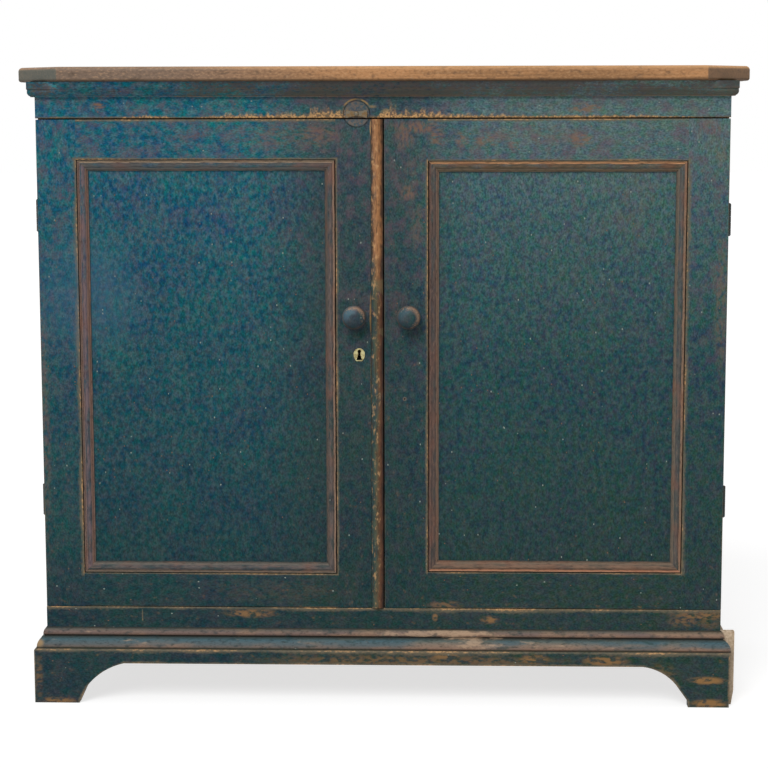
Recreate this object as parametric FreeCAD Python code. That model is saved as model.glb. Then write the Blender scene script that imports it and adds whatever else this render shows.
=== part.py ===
import FreeCAD, Part
import math
import os

from FreeCAD import Vector

# Two-door painted cupboard with bracket feet, in millimetres.
# X runs to the right, Y to the back and Z up. The origin is under the middle of the whole object.

# Directions
RIGHT = Vector(1, 0, 0)
LEFT = Vector(-1, 0, 0)
BACKWARD = Vector(0, 1, 0)
FORWARD = Vector(0, -1, 0)
UP = Vector(0, 0, 1)
DOWN = Vector(0, 0, -1)
FULL_TURN = 360

# Case
CASE_WIDTH = 1160.0
CASE_DEPTH = 452.0  # from the doors' face to the rear edge of the sides
SIDE_THICKNESS = 20.0
CASE_BOTTOM = 75.0  # lower edge of the sides above the floor
BOTTOM_BOARD_THICKNESS = 20.0
BOTTOM_RAIL_REVEAL = 35.7
BOTTOM_RAIL_END_INSET = 0.5
FRIEZE_HEIGHT = 60.5
REAR_RAIL_HEIGHT = 60.0
REAR_RAIL_THICKNESS = 22.0
HOUSING_DEPTH = 7.0
BACK_BOARD_COUNT = 4
BACK_BOARD_THICKNESS = 12.0
BACK_BOARD_LAP = 10.0
BACK_BOARD_GAP = 0.8
BACK_REBATE_WIDTH = 10.0
BACK_BOARD_TOP_GAP = 0.5
RAIL_ARRIS = 1.6

# Shelves, by their upper faces above the bottom board
SHELF_THICKNESS = 18.0
LOWER_SHELF_RISE = 280.0
UPPER_SHELF_RISE = 540.0
SHELF_SETBACK = 18.0
SHELF_PLAY = 0.7
CLEAT_WIDTH = 18.0
CLEAT_HEIGHT = 22.0
CLEAT_END_GAP = 10.0

# Top board
TOP_SIDE_OVERHANG = 35.8
TOP_THICKNESS = 24.5
TOP_FRONT_OVERHANG = 31.0
TOP_REAR_OVERHANG = 3.0
TOP_CANT = 77.8
TOP_UPPER_ARRIS = 7.0
TOP_LOWER_ARRIS = 4.5

# Top moulding. Shares of projection and height, from the wall at the top, outwards and down.
TOP_MOULDING_HEIGHT = 25.2
TOP_MOULDING_PROJECTION = 11.6
TOP_MOULDING_SHARES = [
    (0, 1), (1, 1), (1, 0.52), (0.90, 0.46), (0.90, 0.40), (0.84, 0.18, 0.50, 0.04), (0.50, 0), (0, 0),
]

# Base moulding, with the same kind of shares
BASE_MOULDING_HEIGHT = 34.8
BASE_MOULDING_PROJECTION = 16.5
BASE_MOULDING_SHARES = [
    (0, 1), (0.26, 0.87, 0.35, 0.64), (0.24, 0.61), (0.24, 0.575), (0.37, 0.56),
    (0.76, 0.39, 0.96, 0.07), (0.96, 0), (0, 0),
]

# Plinth
PLINTH_HEIGHT = 95.0
PLINTH_THICKNESS = 20.0
PLINTH_END_INSET = 2.8  # right end of the front board inside that of the moulding on it
BARE_BOARD_HEIGHT = 128.0
BARE_BOARD_THICKNESS = 23.5
BARE_BOARD_STUB = 14.0  # depth of its raised front end
BARE_BOARD_TAPER = 4.0
BARE_BOARD_TAPER_HEIGHT = 25.0
PLINTH_ARRIS = 3.0
ARCH_HEIGHT = 70.4
BRACKET_REACH = 78.0
LEFT_TOE = 77.0
RIGHT_TOE = 69.7
SIDE_TOE = 74.0
REAR_BRACKET_WIDTH = 110.0
REAR_BRACKET_TOE = 28.0
REAR_BRACKET_THICKNESS = 18.0
FOOT_BLOCK_WIDTH = 45.0
FOOT_BLOCK_NOSE = 15.0

# Edge of a bracket foot, in shares of its reach and of the arch height, from the toe up
LEFT_FOOT_SHARES = [(0.17, 0.41), (0.50, 0.76, 1, 1)]
RIGHT_FOOT_SHARES = [(0, 0.14), (0.27, 0.56), (0.58, 0.85, 1, 1)]

# Doors
DOOR_HEIGHT = 833.0
DOOR_THICKNESS = 22.0
DOOR_BOTTOM_GAP = 1.0
DOOR_TOP_GAP = 2.0
DOOR_BACK_GAP = 0.4
DOOR_SIDE_INSET = 0.2
DOOR_ARRIS = 1.6
MEETING_OFFSET = 3.5  # middle of the gap between the doors, right of the middle of the case
MEETING_GAP = 2.0
BEAD_WIDTH = 19.5
BEAD_RISE = 5.0
BEAD_SHOULDER = 0.8
LEFT_HINGE_STILE = 66.8
LEFT_MEETING_STILE = 59.5
LEFT_TOP_RAIL = 66.5
LEFT_BOTTOM_RAIL = 58.5
RIGHT_HINGE_STILE = 68.8
RIGHT_MEETING_STILE = 73.5
RIGHT_TOP_RAIL = 69.0
RIGHT_BOTTOM_RAIL = 62.5
TENON_LENGTH = 42.0
TENON_SHOULDER = 12.0
JOINT_FIT = 0.1
PANEL_RECESS = 11.0
PANEL_THICKNESS = 7.0
PANEL_GROOVE = 8.0
PANEL_PLAY = 1.5
PANEL_MOULDING_WIDTH = 18.0
PANEL_MOULDING_SINK = 0.7
PANEL_MOULDING_GAP = 1.0

# Panel moulding, in shares of its width inwards and of its height off the panel
PANEL_MOULDING_SHARES = [
    (0, 0), (0, 0.90), (0.075, 1.0, 0.15, 0.90), (0.17, 0.78),
    (0.62, 0.76, 0.86, 0.30), (0.86, 0.17), (1, 0.17), (1, 0),
]
NAIL_HOLE_RADIUS = 1.5
NAIL_HOLE_DEPTH = 6.0
NAIL_HOLE_INSET = 34.5
NAIL_HOLE_HEIGHT = 529.0

# Knobs
KNOB_RADIUS = 20.0
KNOB_REACH = 36.0
KNOB_HEIGHT = 669.8
LEFT_KNOB_INSET = 47.9
RIGHT_KNOB_INSET = 41.7
SPIGOT_RADIUS = 6.0
SPIGOT_LENGTH = 17.0

# Turned profile of a knob, in shares of its radius and of its reach
KNOB_SHARES = [
    (0.60, 0), (0.60, 0.04), (0.45, 0.12, 0.41, 0.30), (0.46, 0.42, 0.70, 0.50), (0.93, 0.54),
    (1.0, 0.63, 0.94, 0.73),
]

# Hinges, five knuckles each
HINGE_LENGTH = 53.0
KNUCKLE_COUNT = 5
KNUCKLE_RADIUS = 2.9
KNUCKLE_GAP = 0.35
HINGE_CLEARANCE = 0.35
PIN_RADIUS = 1.3
PIN_FIT = 0.05
PIN_HEAD_RADIUS = 2.2
PIN_HEAD_HEIGHT = 1.2
LEAF_THICKNESS = 1.6
CASE_LEAF_WIDTH = 16.0
DOOR_LEAF_WIDTH = 22.0
LEAF_SCREW_COUNT = 3
LEAF_SCREW_SPREAD = 0.70  # span of the outer screws as a share of the leaf's length
LEFT_HINGE_INSETS = (183.0, 161.0)  # middles of the hinges from the door's bottom and top
RIGHT_HINGE_INSETS = (184.0, 168.3)

# Screws
SCREW_HEAD_RADIUS = 3.3
SCREW_HEAD_DEPTH = 2.2
SCREW_RADIUS = 1.6
SCREW_LENGTH = 15.0
SCREW_TIP = 4.0
SCREW_FIT = 0.1

# Lock behind the left meeting stile
KEYHOLE_INSET = 40.3  # from the door's meeting edge
KEYHOLE_HEIGHT = 604.3
KEYHOLE_HEAD_RADIUS = 3.0
KEYHOLE_HEAD_RISE = 5.6
KEYHOLE_NECK = 2.0
KEYHOLE_FLARE = 4.8
KEYHOLE_DROP = 9.2
ESCUTCHEON_HALF_WIDTH = 9.5
ESCUTCHEON_HALF_HEIGHT = 11.2
ESCUTCHEON_THICKNESS = 0.9
ESCUTCHEON_SHARES = [
    (0, 1), (0.80, 0.62, 1, 0.04), (0.84, -0.55, 0.48, -0.97), (-0.48, -0.97),
    (-0.84, -0.55, -1, 0.04), (-0.80, 0.62, 0, 1),
]
LOCK_EDGE_INSET = 4.0
LOCK_PLATE_WIDTH = 63.0
LOCK_PLATE_HEIGHT = 71.0
LOCK_PLATE_THICKNESS = 2.0
LOCK_PLATE_BELOW_KEYHOLE = 30.0
LOCK_BOX_WIDTH = 50.0
LOCK_BOX_HEIGHT = 45.0
LOCK_DEPTH = 14.0
LOCK_WALL = 1.8
LOCK_SCREW_INSET = 6.0
LOCK_BOLT_LENGTH = 42.0
LOCK_BOLT_HEIGHT = 14.0
LOCK_BOLT_THICKNESS = 6.0
LOCK_BOLT_RISE = 8.0  # lower edge of the bolt above the keyhole's middle
LOCK_BOLT_TRAVEL = 10.0
LOCK_POST_RADIUS = 2.5
LOCK_POST_INSET = 8.0
LOCK_TALON_WIDTH = 7.0
LOCK_TALON_DEPTH = 4.0
LOCK_SPRING_THICKNESS = 0.8
SLIDE_FIT = 0.3

# Bolt inside the right door
BOLT_INSET = 36.0
BOLT_PLATE_WIDTH = 28.0
BOLT_PLATE_THICKNESS = 1.6
BOLT_PLATE_DROP = 16.0  # top of the plate below the top of the door
BOLT_WIDTH = 12.0
BOLT_THICKNESS = 5.0
BOLT_TIP_DROP = 7.0
BOLT_LENGTH = 80.0
BOLT_TRAVEL = 18.0
BOLT_GUIDE_HEIGHT = 12.0
BOLT_GUIDE_INSET = 5.0
BOLT_GUIDE_WALL = 1.8
BOLT_KNOB_RADIUS = 4.5
BOLT_KNOB_NECK = 2.4
BOLT_KNOB_REACH = 13.0

# Turn button on the frieze
BUTTON_X = -41.0
BUTTON_RISE = 6.8  # pivot above the lower edge of the frieze
BUTTON_LENGTH = 36.0
BUTTON_END_HALF_WIDTH = 6.9
BUTTON_WAIST_HALF_WIDTH = 3.9
BUTTON_THICKNESS = 3.0
BUTTON_CLEARANCE = 0.5
BUTTON_END_BOW = 1.2
BUTTON_SCREW_RADIUS = 2.2
BUTTON_SCREW_HEAD_RADIUS = 4.4
BUTTON_SCREW_HEAD_HEIGHT = 2.4
BUTTON_SCREW_HEAD_GAP = 0.1
BUTTON_SCREW_LENGTH = 18.0
BUTTON_SCREW_SLOT = 0.9
BUTTON_FIT = 0.08

OVERRUN = 2.0  # how far every cutting solid runs past the face that it cuts
NEAR = 0.001  # two positions this close are the same place

# Places along Z
BASE_MOULDING_TOP = PLINTH_HEIGHT + BASE_MOULDING_HEIGHT
BOTTOM_RAIL_TOP = BASE_MOULDING_TOP + BOTTOM_RAIL_REVEAL
DOOR_BOTTOM = BOTTOM_RAIL_TOP + DOOR_BOTTOM_GAP
DOOR_TOP = DOOR_BOTTOM + DOOR_HEIGHT
FRIEZE_BOTTOM = DOOR_TOP + DOOR_TOP_GAP
CASE_TOP = FRIEZE_BOTTOM + FRIEZE_HEIGHT
LEFT_HINGE_HEIGHTS = (DOOR_BOTTOM + LEFT_HINGE_INSETS[0], DOOR_TOP - LEFT_HINGE_INSETS[1])
RIGHT_HINGE_HEIGHTS = (DOOR_BOTTOM + RIGHT_HINGE_INSETS[0], DOOR_TOP - RIGHT_HINGE_INSETS[1])
TOP_MOULDING_BOTTOM = CASE_TOP - TOP_MOULDING_HEIGHT

# Places along Y
OVERALL_DEPTH = KNOB_REACH + CASE_DEPTH + TOP_REAR_OVERHANG
FACE = KNOB_REACH - OVERALL_DEPTH / 2
DOOR_BACK = FACE + DOOR_THICKNESS
CASE_FRONT = DOOR_BACK + DOOR_BACK_GAP
HINGE_Y = (DOOR_BACK + CASE_FRONT) / 2
CASE_BACK = FACE + CASE_DEPTH
INNER_BACK = CASE_BACK - BACK_BOARD_THICKNESS
PANEL_FACE = FACE + PANEL_RECESS

# Places along X
CASE_SIDE = CASE_WIDTH / 2
INNER_SIDE = CASE_SIDE - SIDE_THICKNESS
PLINTH_RIGHT_END = CASE_SIDE + BASE_MOULDING_PROJECTION - PLINTH_END_INSET
HINGE_X = CASE_SIDE + KNUCKLE_RADIUS + HINGE_CLEARANCE
LEAF_EDGE = HINGE_X - KNUCKLE_RADIUS - HINGE_CLEARANCE
LEFT_DOOR_EDGE = MEETING_OFFSET - MEETING_GAP / 2
RIGHT_DOOR_EDGE = MEETING_OFFSET + MEETING_GAP / 2
KEYHOLE_X = LEFT_DOOR_EDGE - KEYHOLE_INSET
LOCK_EDGE = LEFT_DOOR_EDGE - LOCK_EDGE_INSET
BOLT_X = RIGHT_DOOR_EDGE + BOLT_INSET


def block(x, y, z):
    """A box between two places along each axis, given in either order."""
    low = Vector(min(x), min(y), min(z))
    return Part.makeBox(max(x) - min(x), max(y) - min(y), max(z) - min(z), low)


def grown(x, y, z, fit):
    """The box of a seat: a block with the same clearance all round."""
    spans = [(min(span) - fit, max(span) + fit) for span in (x, y, z)]
    return block(*spans)


def outline(steps, origin, across, up):
    """A closed face. A step of two numbers is a corner, and one of four is an arc's middle and end."""
    def place(a, b):
        return origin + across * a + up * b

    first = place(*steps[0])
    last = first
    edges = []
    for step in steps[1:]:
        end = place(*step[-2:])
        if len(step) == 4:
            edges.append(Part.Arc(last, place(*step[:2]), end).toShape())
        else:
            edges.append(Part.makeLine(last, end))
        last = end
    if last.distanceToPoint(first) > NEAR:
        edges.append(Part.makeLine(last, first))
    return Part.Face(Part.Wire(edges))


def scaled(shares, width, height):
    """Shares of a width and a height as an outline's steps."""
    return [tuple(share * (width, height)[i % 2] for i, share in enumerate(step)) for step in shares]


def softened(shape, radius, picks):
    """The shape with the edges whose both ends pass a test rounded."""
    edges = [edge for edge in shape.Edges if all(picks(vertex.Point) for vertex in edge.Vertexes)]
    return shape.makeFillet(radius, edges)


def at(value, place):
    return abs(value - place) < NEAR


def mitred_bar(profile, width, height, start, end, out, up, start_mitre, end_mitre):
    """A moulding along a line. A mitre of 1 lengthens it outwards, -1 shortens it, and 0 is square."""
    length = start.distanceToPoint(end)
    along = (end - start) * (1 / length)
    prism = outline(profile, start - along * width, out, up).extrude(along * (length + 2 * width))
    plan = [(0, 0), (length, 0), (length + end_mitre * width, width), (-start_mitre * width, width)]
    return prism.common(outline(plan, start, along, out).extrude(up * height))


def turned(steps, point, direction):
    """A solid of revolution along Y, from steps of radius and depth."""
    return outline(steps, point, RIGHT, direction).revolve(point, direction, FULL_TURN)


def dome(radius, start, end):
    """The arc of a ball from a rim at one depth to the axis at another, as its middle and its end."""
    centre = (end * end - start * start - radius * radius) / (2 * (end - start))
    ball = end - centre
    half = math.atan2(radius, start - centre if ball > 0 else centre - start) / 2
    return abs(ball) * math.sin(half), centre + ball * math.cos(half), 0, end


def screw(point, direction, fit=0):
    """A countersunk screw with its head flush at a point, or the hole for it with a fit."""
    steps = [
        (0, 0), (SCREW_HEAD_RADIUS + fit, 0), (SCREW_RADIUS + fit, SCREW_HEAD_DEPTH + fit),
        (SCREW_RADIUS + fit, SCREW_LENGTH - SCREW_TIP), (0, SCREW_LENGTH + fit),
    ]
    return turned(steps, point, direction)


def joined(shapes):
    whole = shapes[0].fuse(shapes[1:]) if len(shapes) > 1 else shapes[0]
    return whole.removeSplitter()


def cut(shape, tools):
    return shape.cut(tools) if tools else shape


# Top board and its moulding

def top_board():
    front = FACE - TOP_FRONT_OVERHANG
    rear = CASE_BACK + TOP_REAR_OVERHANG
    wide = CASE_SIDE + TOP_SIDE_OVERHANG
    steps = [
        (-wide, rear), (-wide, front + TOP_CANT), (TOP_CANT - wide, front),
        (wide - TOP_CANT, front), (wide, front + TOP_CANT), (wide, rear),
    ]
    board = outline(steps, UP * CASE_TOP, RIGHT, BACKWARD).extrude(UP * TOP_THICKNESS)
    high = CASE_TOP + TOP_THICKNESS
    board = softened(board, TOP_UPPER_ARRIS, lambda point: at(point.z, high))
    return softened(board, TOP_LOWER_ARRIS, lambda point: at(point.z, CASE_TOP))


def top_moulding(start, end, out, start_mitre, end_mitre):
    profile = scaled(TOP_MOULDING_SHARES, TOP_MOULDING_PROJECTION, TOP_MOULDING_HEIGHT)
    return mitred_bar(profile, TOP_MOULDING_PROJECTION, TOP_MOULDING_HEIGHT,
                      start, end, out, UP, start_mitre, end_mitre)


def top_mouldings():
    z = TOP_MOULDING_BOTTOM
    left_front = Vector(-CASE_SIDE, FACE, z)
    right_front = Vector(CASE_SIDE, FACE, z)
    left_rear = Vector(-CASE_SIDE, CASE_BACK, z)
    right_rear = Vector(CASE_SIDE, CASE_BACK, z)
    return {
        "top_moulding_front": top_moulding(left_front, right_front, FORWARD, 1, 1),
        "top_moulding_left": top_moulding(left_front, left_rear, LEFT, 1, 0),
        "top_moulding_right": top_moulding(right_front, right_rear, RIGHT, 1, 0),
    }


# Carcase

def case_leaf_spans(side, height):
    x = (side * LEAF_EDGE, side * (LEAF_EDGE - CASE_LEAF_WIDTH))
    y = (CASE_FRONT, CASE_FRONT + LEAF_THICKNESS)
    return x, y, (height - HINGE_LENGTH / 2, height + HINGE_LENGTH / 2)


def side_board(side, hinge_heights):
    outer = side * CASE_SIDE
    inner = side * INNER_SIDE
    board = block((outer, inner), (CASE_FRONT, CASE_BACK), (CASE_BOTTOM, CASE_TOP))
    housed = side * (INNER_SIDE + HOUSING_DEPTH)
    past = side * (INNER_SIDE - OVERRUN)
    tools = [
        grown((past, housed), (CASE_FRONT - OVERRUN, INNER_BACK),
              (BOTTOM_RAIL_TOP - BOTTOM_BOARD_THICKNESS, BOTTOM_RAIL_TOP), JOINT_FIT),
        grown((past, housed), (INNER_BACK - REAR_RAIL_THICKNESS, INNER_BACK),
              (CASE_TOP - REAR_RAIL_HEIGHT, CASE_TOP + OVERRUN), JOINT_FIT),
        block((past, side * (INNER_SIDE + BACK_REBATE_WIDTH)), (INNER_BACK, CASE_BACK + OVERRUN),
              (CASE_BOTTOM - OVERRUN, CASE_TOP + OVERRUN)),
    ]
    for height in hinge_heights:
        x, y, z = case_leaf_spans(side, height)
        seat_x = (side * (CASE_SIDE + OVERRUN), x[1])
        tools.append(grown(seat_x, (CASE_FRONT - OVERRUN, y[1]), z, JOINT_FIT))
        tools += [screw(place, BACKWARD, SCREW_FIT) for place in case_screw_places(side, height)]
    return cut(board, tools)


def bottom_board():
    reach = INNER_SIDE + HOUSING_DEPTH
    return block((-reach, reach), (CASE_FRONT, INNER_BACK),
                 (BOTTOM_RAIL_TOP - BOTTOM_BOARD_THICKNESS, BOTTOM_RAIL_TOP))


def shelf_top(rise):
    return BOTTOM_RAIL_TOP + rise


def shelf(rise):
    reach = INNER_SIDE - SHELF_PLAY
    top = shelf_top(rise)
    return block((-reach, reach), (CASE_FRONT + SHELF_SETBACK, INNER_BACK - SHELF_PLAY),
                 (top - SHELF_THICKNESS, top))


def shelf_cleats():
    """Four battens on the sides under the ends of the shelves, with a sloping front end."""
    cleats = []
    front = CASE_FRONT + SHELF_SETBACK + CLEAT_END_GAP
    rear = INNER_BACK - CLEAT_END_GAP
    for rise in (LOWER_SHELF_RISE, UPPER_SHELF_RISE):
        top = shelf_top(rise) - SHELF_THICKNESS
        low = top - CLEAT_HEIGHT
        steps = [(front, top), (rear, top), (rear, low), (front + CLEAT_HEIGHT, low)]
        for side in (-1, 1):
            face = outline(steps, RIGHT * (side * INNER_SIDE), BACKWARD, UP)
            cleats.append(face.extrude(LEFT * (side * CLEAT_WIDTH)))
    return Part.makeCompound(cleats)


def frieze_rail():
    rail = block((-CASE_SIDE, CASE_SIDE), (FACE, CASE_FRONT), (FRIEZE_BOTTOM, CASE_TOP))
    rail = softened(rail, RAIL_ARRIS, lambda point: at(point.y, FACE) and at(point.z, FRIEZE_BOTTOM))
    return cut(rail, [button_screw_hole()])


def bottom_rail():
    rail = block((-CASE_SIDE, CASE_SIDE - BOTTOM_RAIL_END_INSET), (FACE, CASE_FRONT),
                 (CASE_BOTTOM, BOTTOM_RAIL_TOP))
    return softened(rail, RAIL_ARRIS, lambda point: at(point.y, FACE) and at(point.z, BOTTOM_RAIL_TOP))


def rear_top_rail():
    reach = INNER_SIDE + HOUSING_DEPTH
    return block((-reach, reach), (INNER_BACK - REAR_RAIL_THICKNESS, INNER_BACK),
                 (CASE_TOP - REAR_RAIL_HEIGHT, CASE_TOP))


def back_board(index):
    """One of a row of upright boards, half-lapped with its neighbours."""
    edge = INNER_SIDE + BACK_REBATE_WIDTH
    pitch = 2 * edge / BACK_BOARD_COUNT
    low = index * pitch - edge + BACK_BOARD_GAP / 2
    high = low + pitch - BACK_BOARD_GAP
    first_lap = BACK_BOARD_LAP if index > 0 else 0
    last_lap = BACK_BOARD_LAP if index < BACK_BOARD_COUNT - 1 else 0
    middle = INNER_BACK + BACK_BOARD_THICKNESS / 2
    z = (CASE_BOTTOM, CASE_TOP - BACK_BOARD_TOP_GAP)
    rear_half = block((low, high), (middle, CASE_BACK), z)
    front_half = block((low + first_lap, high + last_lap), (INNER_BACK, middle), z)
    return joined([rear_half, front_half])


# Plinth and base moulding

def arch_half(toe, middle, foot_shares, across, thickness, origin, depth):
    """The solid that cuts half an arch from a plinth board, from a foot's toe to the middle."""
    sense = 1 if middle > toe else -1
    steps = [(toe, -OVERRUN), (toe, 0)]
    for step in scaled(foot_shares, sense * BRACKET_REACH, ARCH_HEIGHT):
        steps.append(tuple(value + toe * (1 - i % 2) for i, value in enumerate(step)))
    steps += [(middle + sense * OVERRUN, ARCH_HEIGHT), (middle + sense * OVERRUN, -OVERRUN)]
    start = origin - depth * OVERRUN
    return outline(steps, start, across, UP).extrude(depth * (thickness + 2 * OVERRUN))


def corner_mitre():
    """The quarter of the left front corner that the left plinth board takes from the front board."""
    far = PLINTH_THICKNESS + OVERRUN
    steps = [(-CASE_SIDE, FACE), (-CASE_SIDE - far, FACE - far), (-CASE_SIDE - far, FACE + far)]
    return outline(steps, DOWN * OVERRUN, RIGHT, BACKWARD).extrude(UP * (PLINTH_HEIGHT + 2 * OVERRUN))


def plinth_front():
    outer = FACE - PLINTH_THICKNESS
    left_end = -CASE_SIDE - PLINTH_THICKNESS
    board = block((left_end, PLINTH_RIGHT_END), (outer, FACE), (0, PLINTH_HEIGHT))
    board = softened(board, PLINTH_ARRIS, lambda point: at(point.y, outer) and at(point.z, PLINTH_HEIGHT))
    feet = ((left_end + LEFT_TOE, LEFT_FOOT_SHARES), (PLINTH_RIGHT_END - RIGHT_TOE, RIGHT_FOOT_SHARES))
    arches = [
        arch_half(toe, 0, foot_shares, RIGHT, PLINTH_THICKNESS, BACKWARD * outer, BACKWARD)
        for toe, foot_shares in feet
    ]
    return cut(board, arches + [corner_mitre()])


def side_arches(outer, front, thickness, depth):
    middle = (front + CASE_BACK) / 2
    origin = RIGHT * outer
    return [
        arch_half(toe, middle, LEFT_FOOT_SHARES, BACKWARD, thickness, origin, depth)
        for toe in (front + SIDE_TOE, CASE_BACK - SIDE_TOE)
    ]


def plinth_side_left():
    outer = -CASE_SIDE - PLINTH_THICKNESS
    front = FACE - PLINTH_THICKNESS
    board = block((outer, -CASE_SIDE), (front, CASE_BACK), (0, PLINTH_HEIGHT))
    board = softened(board, PLINTH_ARRIS, lambda point: at(point.x, outer) and at(point.z, PLINTH_HEIGHT))
    corner = block((outer, -CASE_SIDE), (front, FACE), (0, PLINTH_HEIGHT)).cut(corner_mitre())
    return cut(board, [corner] + side_arches(outer, front, PLINTH_THICKNESS, RIGHT))


def plinth_side_right():
    """The bare board, with its outer face leaning in below and its front end higher than the rest."""
    outer = CASE_SIDE + BARE_BOARD_THICKNESS
    steps = [
        (CASE_SIDE, 0), (outer - BARE_BOARD_TAPER, 0), (outer, BARE_BOARD_TAPER_HEIGHT),
        (outer, BARE_BOARD_HEIGHT), (CASE_SIDE, BARE_BOARD_HEIGHT),
    ]
    board = outline(steps, BACKWARD * FACE, RIGHT, UP).extrude(BACKWARD * CASE_DEPTH)
    above = block((CASE_SIDE - OVERRUN, outer + OVERRUN), (FACE + BARE_BOARD_STUB, CASE_BACK + OVERRUN),
                  (PLINTH_HEIGHT, BARE_BOARD_HEIGHT + OVERRUN))
    return cut(board, [above] + side_arches(CASE_SIDE, FACE, BARE_BOARD_THICKNESS, RIGHT))


def rear_foot_brackets():
    brackets = []
    front = CASE_BACK - REAR_BRACKET_THICKNESS
    for side in (-1, 1):
        outer = side * CASE_SIDE
        inner = side * (CASE_SIDE - REAR_BRACKET_WIDTH)
        board = block((outer, inner), (front, CASE_BACK), (0, CASE_BOTTOM))
        toe = side * (CASE_SIDE - REAR_BRACKET_TOE)
        origin = BACKWARD * front
        arch = arch_half(toe, 0, LEFT_FOOT_SHARES, RIGHT, REAR_BRACKET_THICKNESS, origin, BACKWARD)
        brackets.append(board.cut(arch))
    return Part.makeCompound(brackets)


def foot_blocks():
    """A five-sided block in each corner of the plinth, from the floor to the case."""
    wide = FOOT_BLOCK_WIDTH
    nose = FOOT_BLOCK_NOSE
    steps = [(0, 0), (wide, 0), (wide, nose), (nose, wide), (0, wide)]
    rear = CASE_BACK - REAR_BRACKET_THICKNESS
    blocks = []
    for inward, side in ((RIGHT, -1), (LEFT, 1)):
        for y, along in ((FACE, BACKWARD), (rear, FORWARD)):
            corner = Vector(side * CASE_SIDE, y, 0)
            blocks.append(outline(steps, corner, inward, along).extrude(UP * CASE_BOTTOM))
    return Part.makeCompound(blocks)


def base_moulding(start, end, out, start_mitre, end_mitre):
    profile = scaled(BASE_MOULDING_SHARES, BASE_MOULDING_PROJECTION, BASE_MOULDING_HEIGHT)
    return mitred_bar(profile, BASE_MOULDING_PROJECTION, BASE_MOULDING_HEIGHT,
                      start, end, out, UP, start_mitre, end_mitre)


def base_mouldings():
    """The right end keeps the mitre of a return that is no longer there."""
    left_front = Vector(-CASE_SIDE, FACE, PLINTH_HEIGHT)
    right_front = Vector(CASE_SIDE, FACE, PLINTH_HEIGHT)
    left_rear = Vector(-CASE_SIDE, CASE_BACK, PLINTH_HEIGHT)
    return {
        "base_moulding_front": base_moulding(left_front, right_front, FORWARD, 1, 1),
        "base_moulding_left": base_moulding(left_front, left_rear, LEFT, 1, 0),
    }


# Hinges

def knuckle_spans(height, first):
    """Every second knuckle of a hinge, from the given one up."""
    pitch = HINGE_LENGTH / KNUCKLE_COUNT
    base = height - HINGE_LENGTH / 2
    return [
        (base + i * pitch + KNUCKLE_GAP / 2, base + (i + 1) * pitch - KNUCKLE_GAP / 2)
        for i in range(first, KNUCKLE_COUNT, 2)
    ]


def leaf(side, x, y, z, knuckles, screws):
    axis_x = side * HINGE_X
    pieces = [block(x, y, z)]
    for low, high in knuckles:
        pieces.append(block((x[0], axis_x), y, (low, high)))
        pieces.append(Part.makeCylinder(KNUCKLE_RADIUS, high - low, Vector(axis_x, HINGE_Y, low)))
    bore = Part.makeCylinder(PIN_RADIUS + PIN_FIT, HINGE_LENGTH + 2 * OVERRUN,
                             Vector(axis_x, HINGE_Y, min(z) - OVERRUN))
    return joined(pieces).cut([bore] + screws)


def screw_heights(height):
    """Heights of a leaf's screws, evenly spread."""
    spread = HINGE_LENGTH * LEAF_SCREW_SPREAD
    gap = spread / (LEAF_SCREW_COUNT - 1)
    return [height - spread / 2 + i * gap for i in range(LEAF_SCREW_COUNT)]


def case_screw_places(side, height):
    x = side * (LEAF_EDGE - CASE_LEAF_WIDTH / 2)
    return [Vector(x, CASE_FRONT, z) for z in screw_heights(height)]


def door_screw_places(side, height):
    x = side * (LEAF_EDGE - DOOR_LEAF_WIDTH / 2)
    return [Vector(x, DOOR_BACK, z) for z in screw_heights(height)]


def case_leaf(side, height):
    x, y, z = case_leaf_spans(side, height)
    holes = [screw(place, BACKWARD, SCREW_FIT) for place in case_screw_places(side, height)]
    return leaf(side, x, y, z, knuckle_spans(height, 0), holes)


def door_leaf_spans(side, height):
    x = (side * LEAF_EDGE, side * (LEAF_EDGE - DOOR_LEAF_WIDTH))
    y = (DOOR_BACK, DOOR_BACK - LEAF_THICKNESS)
    return x, y, (height - HINGE_LENGTH / 2, height + HINGE_LENGTH / 2)


def door_leaf(side, height):
    x, y, z = door_leaf_spans(side, height)
    holes = [screw(place, FORWARD, SCREW_FIT) for place in door_screw_places(side, height)]
    return leaf(side, x, y, z, knuckle_spans(height, 1), holes)


def hinge_pin(side, height):
    low = Vector(side * HINGE_X, HINGE_Y, height - HINGE_LENGTH / 2)
    high = low + UP * HINGE_LENGTH
    pin = Part.makeCylinder(PIN_RADIUS, HINGE_LENGTH, low)
    foot = Part.makeCone(PIN_RADIUS, PIN_HEAD_RADIUS, PIN_HEAD_HEIGHT, low - UP * PIN_HEAD_HEIGHT)
    head = Part.makeCone(PIN_HEAD_RADIUS, PIN_RADIUS, PIN_HEAD_HEIGHT, high)
    return joined([pin, foot, head])


def hinges():
    sides = ((-1, LEFT_HINGE_HEIGHTS), (1, RIGHT_HINGE_HEIGHTS))
    pairs = [(side, height) for side, heights in sides for height in heights]
    case_screws = [screw(place, BACKWARD) for pair in pairs for place in case_screw_places(*pair)]
    nodes = {
        "hinge_case_leaves": Part.makeCompound([case_leaf(*pair) for pair in pairs]),
        "hinge_pins": Part.makeCompound([hinge_pin(*pair) for pair in pairs]),
        "hinge_case_screws": Part.makeCompound(case_screws),
    }
    for side, heights in sides:
        name = "left" if side < 0 else "right"
        leaves = [door_leaf(side, height) for height in heights]
        nodes[name + "_door_hinge_leaves"] = Part.makeCompound(leaves)
    return nodes


# Doors

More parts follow.
